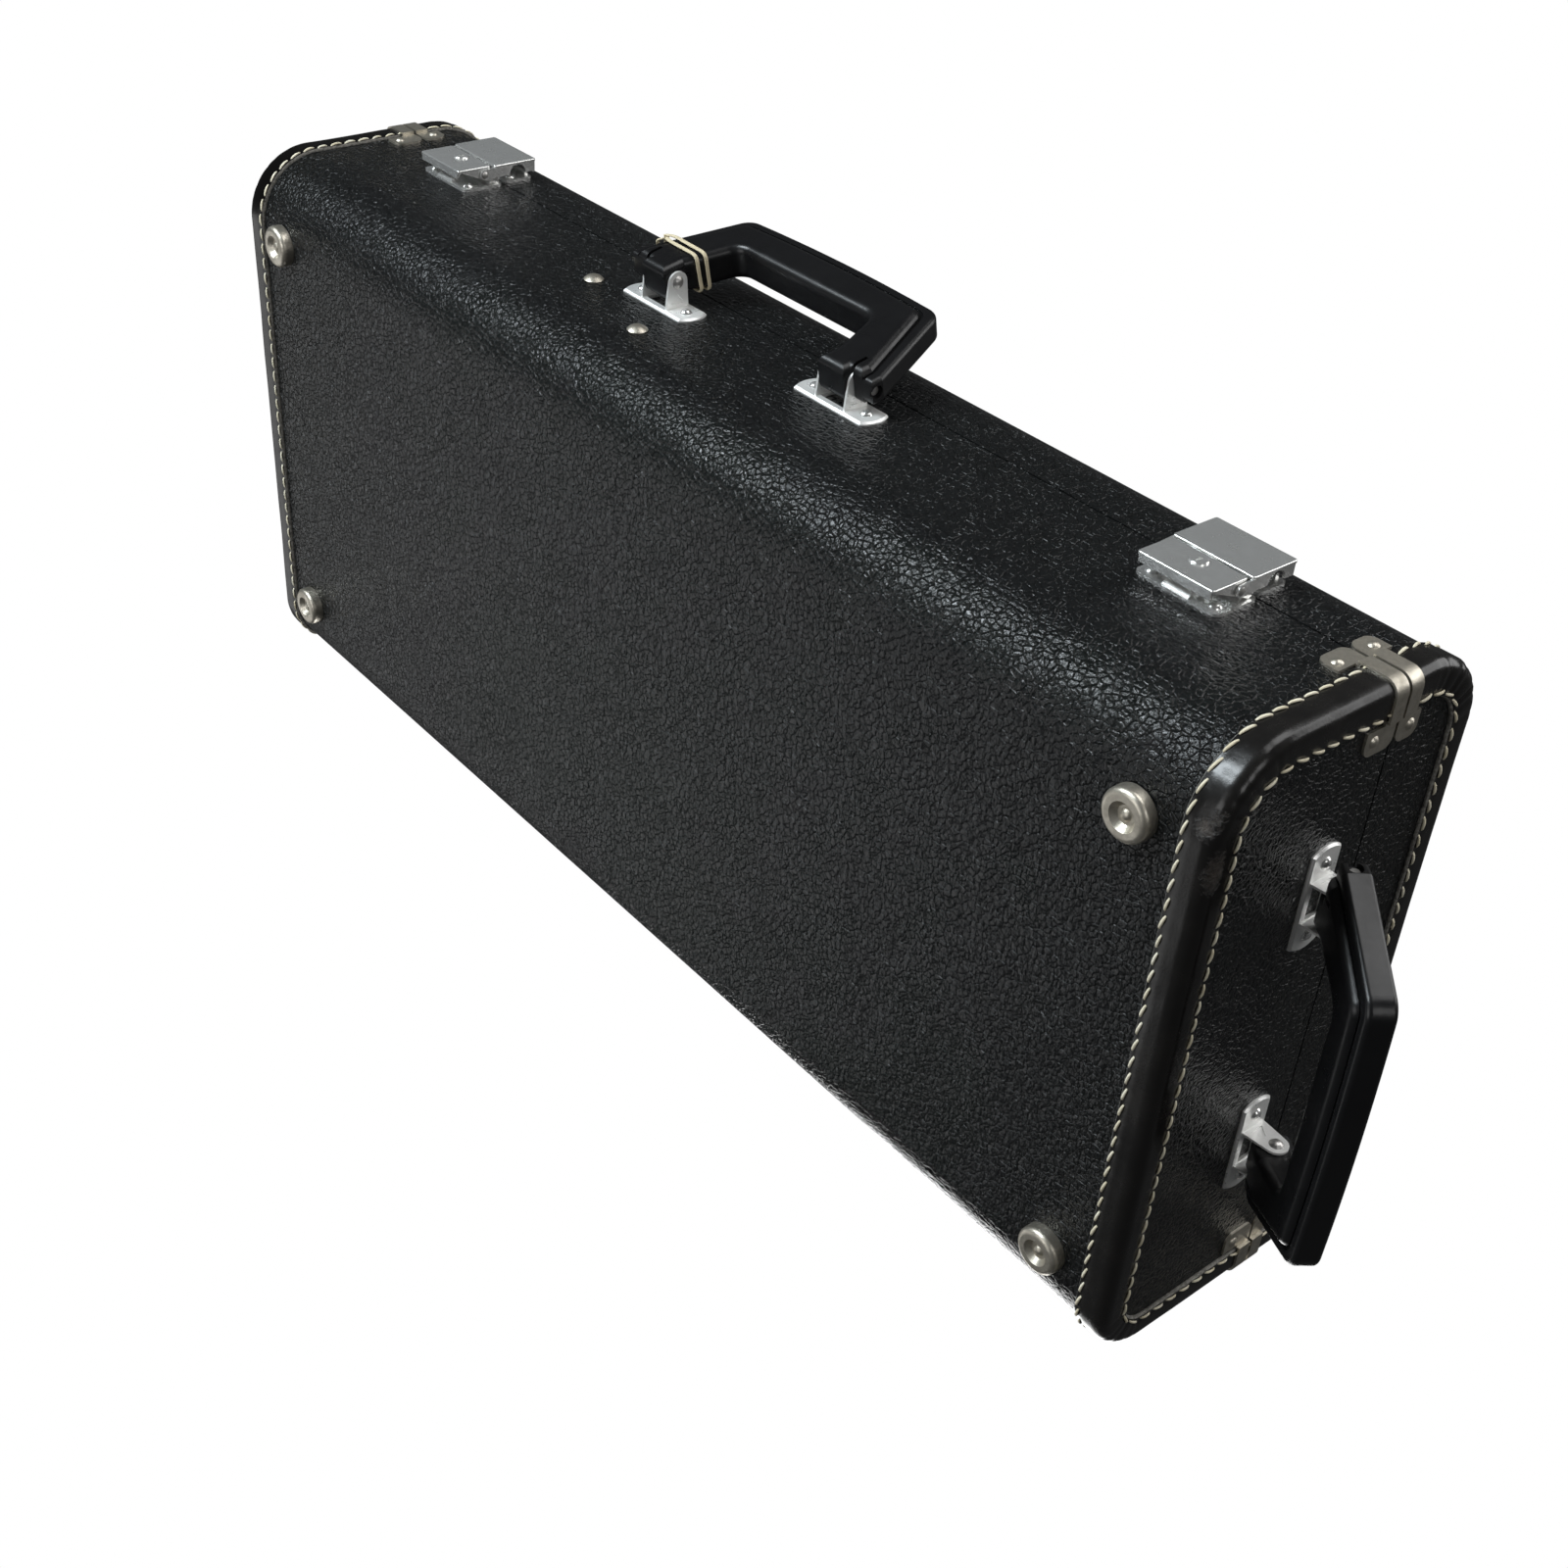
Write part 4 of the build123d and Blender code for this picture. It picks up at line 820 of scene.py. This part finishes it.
floor_material = bpy.data.materials.new("pale floor")
floor_material.use_nodes = True
tree = floor_material.node_tree
tree.nodes.clear()
output = tree.nodes.new("ShaderNodeOutputMaterial")
floor_mix = tree.nodes.new("ShaderNodeMixShader")
clear = tree.nodes.new("ShaderNodeBsdfTransparent")
matte = tree.nodes.new("ShaderNodeBsdfDiffuse")
glow = tree.nodes.new("ShaderNodeEmission")
pale = tree.nodes.new("ShaderNodeAddShader")
faded_points = object_points(tree, grey(floor_fade_scale))
fade = calculated(tree, "LENGTH", faded_points, kind="VectorMath")
ramp_to(tree, matte.inputs["Color"], fade, [(0.12, grey(0.50)), (0.40, grey(0.0))])
ramp_to(tree, glow.inputs["Color"], fade, [(0.12, grey(0.62)), (0.40, grey(1.0))])
tree.links.new(matte.outputs[0], pale.inputs[0])
tree.links.new(glow.outputs[0], pale.inputs[1])
rays = tree.nodes.new("ShaderNodeLightPath")
geometry = tree.nodes.new("ShaderNodeNewGeometry")
from_below = geometry.outputs["Backfacing"]
front = calculated(tree, "GREATER_THAN", rays.outputs["Is Camera Ray"], from_below)
tree.links.new(front, floor_mix.inputs["Fac"])
tree.links.new(clear.outputs[0], floor_mix.inputs[1])
tree.links.new(pale.outputs[0], floor_mix.inputs[2])
tree.links.new(floor_mix.outputs[0], output.inputs["Surface"])
floor_corners = [
    (x * floor_half, y * floor_half, 0.0) for x, y in ((-1, -1), (1, -1), (1, 1), (-1, 1))
]
floor = mesh_object("floor", floor_corners, [(0, 1, 2, 3)], [floor_material])

world = bpy.data.worlds.new("white studio")
bpy.context.scene.world = world
world.use_nodes = True
tree = world.node_tree
tree.nodes.clear()
world_output = tree.nodes.new("ShaderNodeOutputWorld")
world_mix = tree.nodes.new("ShaderNodeMixShader")
for index, (color, strength) in enumerate((((0.93, 0.97, 1.0), room_light), (grey(1.0), 1.0))):
    background = tree.nodes.new("ShaderNodeBackground")
    background.inputs["Color"].default_value = (*color, 1.0)
    background.inputs["Strength"].default_value = strength
    tree.links.new(background.outputs[0], world_mix.inputs[1 + index])
rays = tree.nodes.new("ShaderNodeLightPath")
white_share = rays.outputs["Is Camera Ray"]
for ray in ("Is Glossy Ray", "Is Transmission Ray"):
    ray_share = rays.outputs[ray]
    white_share = calculated(tree, "MULTIPLY_ADD", ray_share, reflected_share, white_share)
tree.links.new(white_share, world_mix.inputs["Fac"])
tree.links.new(world_mix.outputs[0], world_output.inputs["Surface"])

window_color = (0.87, 0.95, 1.0)
# Each lamp: its name, place, width, height, power and colour.
lamps = (
    ("window_above_left_end", (-0.74, -1.45, -0.98), 1.15, 0.48, 42.0, window_color),
    ("lamp_over_latches", (0.50, -1.60, 0.70), 1.0, 1.0, 11.0, grey(1.0)),
    ("lamp_before_feet", (0.10, -0.30, -1.70), 1.0, 1.0, 7.4, grey(1.0)),
    ("bounce_below_left_end", (-1.55, 1.05, -1.10), 1.7, 1.7, 7.2, grey(1.0)),
    ("lamp_at_end", (1.60, -0.70, -0.10), 0.6, 0.6, 3.2, grey(1.0)),
    ("lamp_over_lid", (0.70, -0.60, 1.25), 0.9, 0.9, 7.5, grey(1.0)),
    ("lamp_at_hinges", (-0.25, 1.60, 0.45), 0.9, 0.9, 12.0, grey(1.0)),
)
for name, place, width, height, power, color in lamps:
    data = bpy.data.lights.new(name, "AREA")
    data.shape = "RECTANGLE"
    data.size = width
    data.size_y = height
    data.energy = power
    data.color = color
    lamp = bpy.data.objects.new(name, data)
    bpy.context.scene.collection.objects.link(lamp)
    lamp.location = place
    lamp.rotation_mode = "QUATERNION"
    lamp.rotation_quaternion = (case_middle - Vector(place)).to_track_quat("-Z", "Y")

# The window doesn't light the left end, which would mirror it as a white sheet.
flagged = bpy.data.collections.new("kept out of the window light")
for name in ("base_end_left", "lid_end_left", "binding_base_left", "binding_lid_left"):
    flagged.objects.link(bpy.data.objects[name])
bpy.data.objects["window_above_left_end"].light_linking.receiver_collection = flagged
for member in flagged.collection_objects:
    member.light_linking.link_state = "EXCLUDE"
bpy.context.scene.view_settings.view_transform = "Standard"
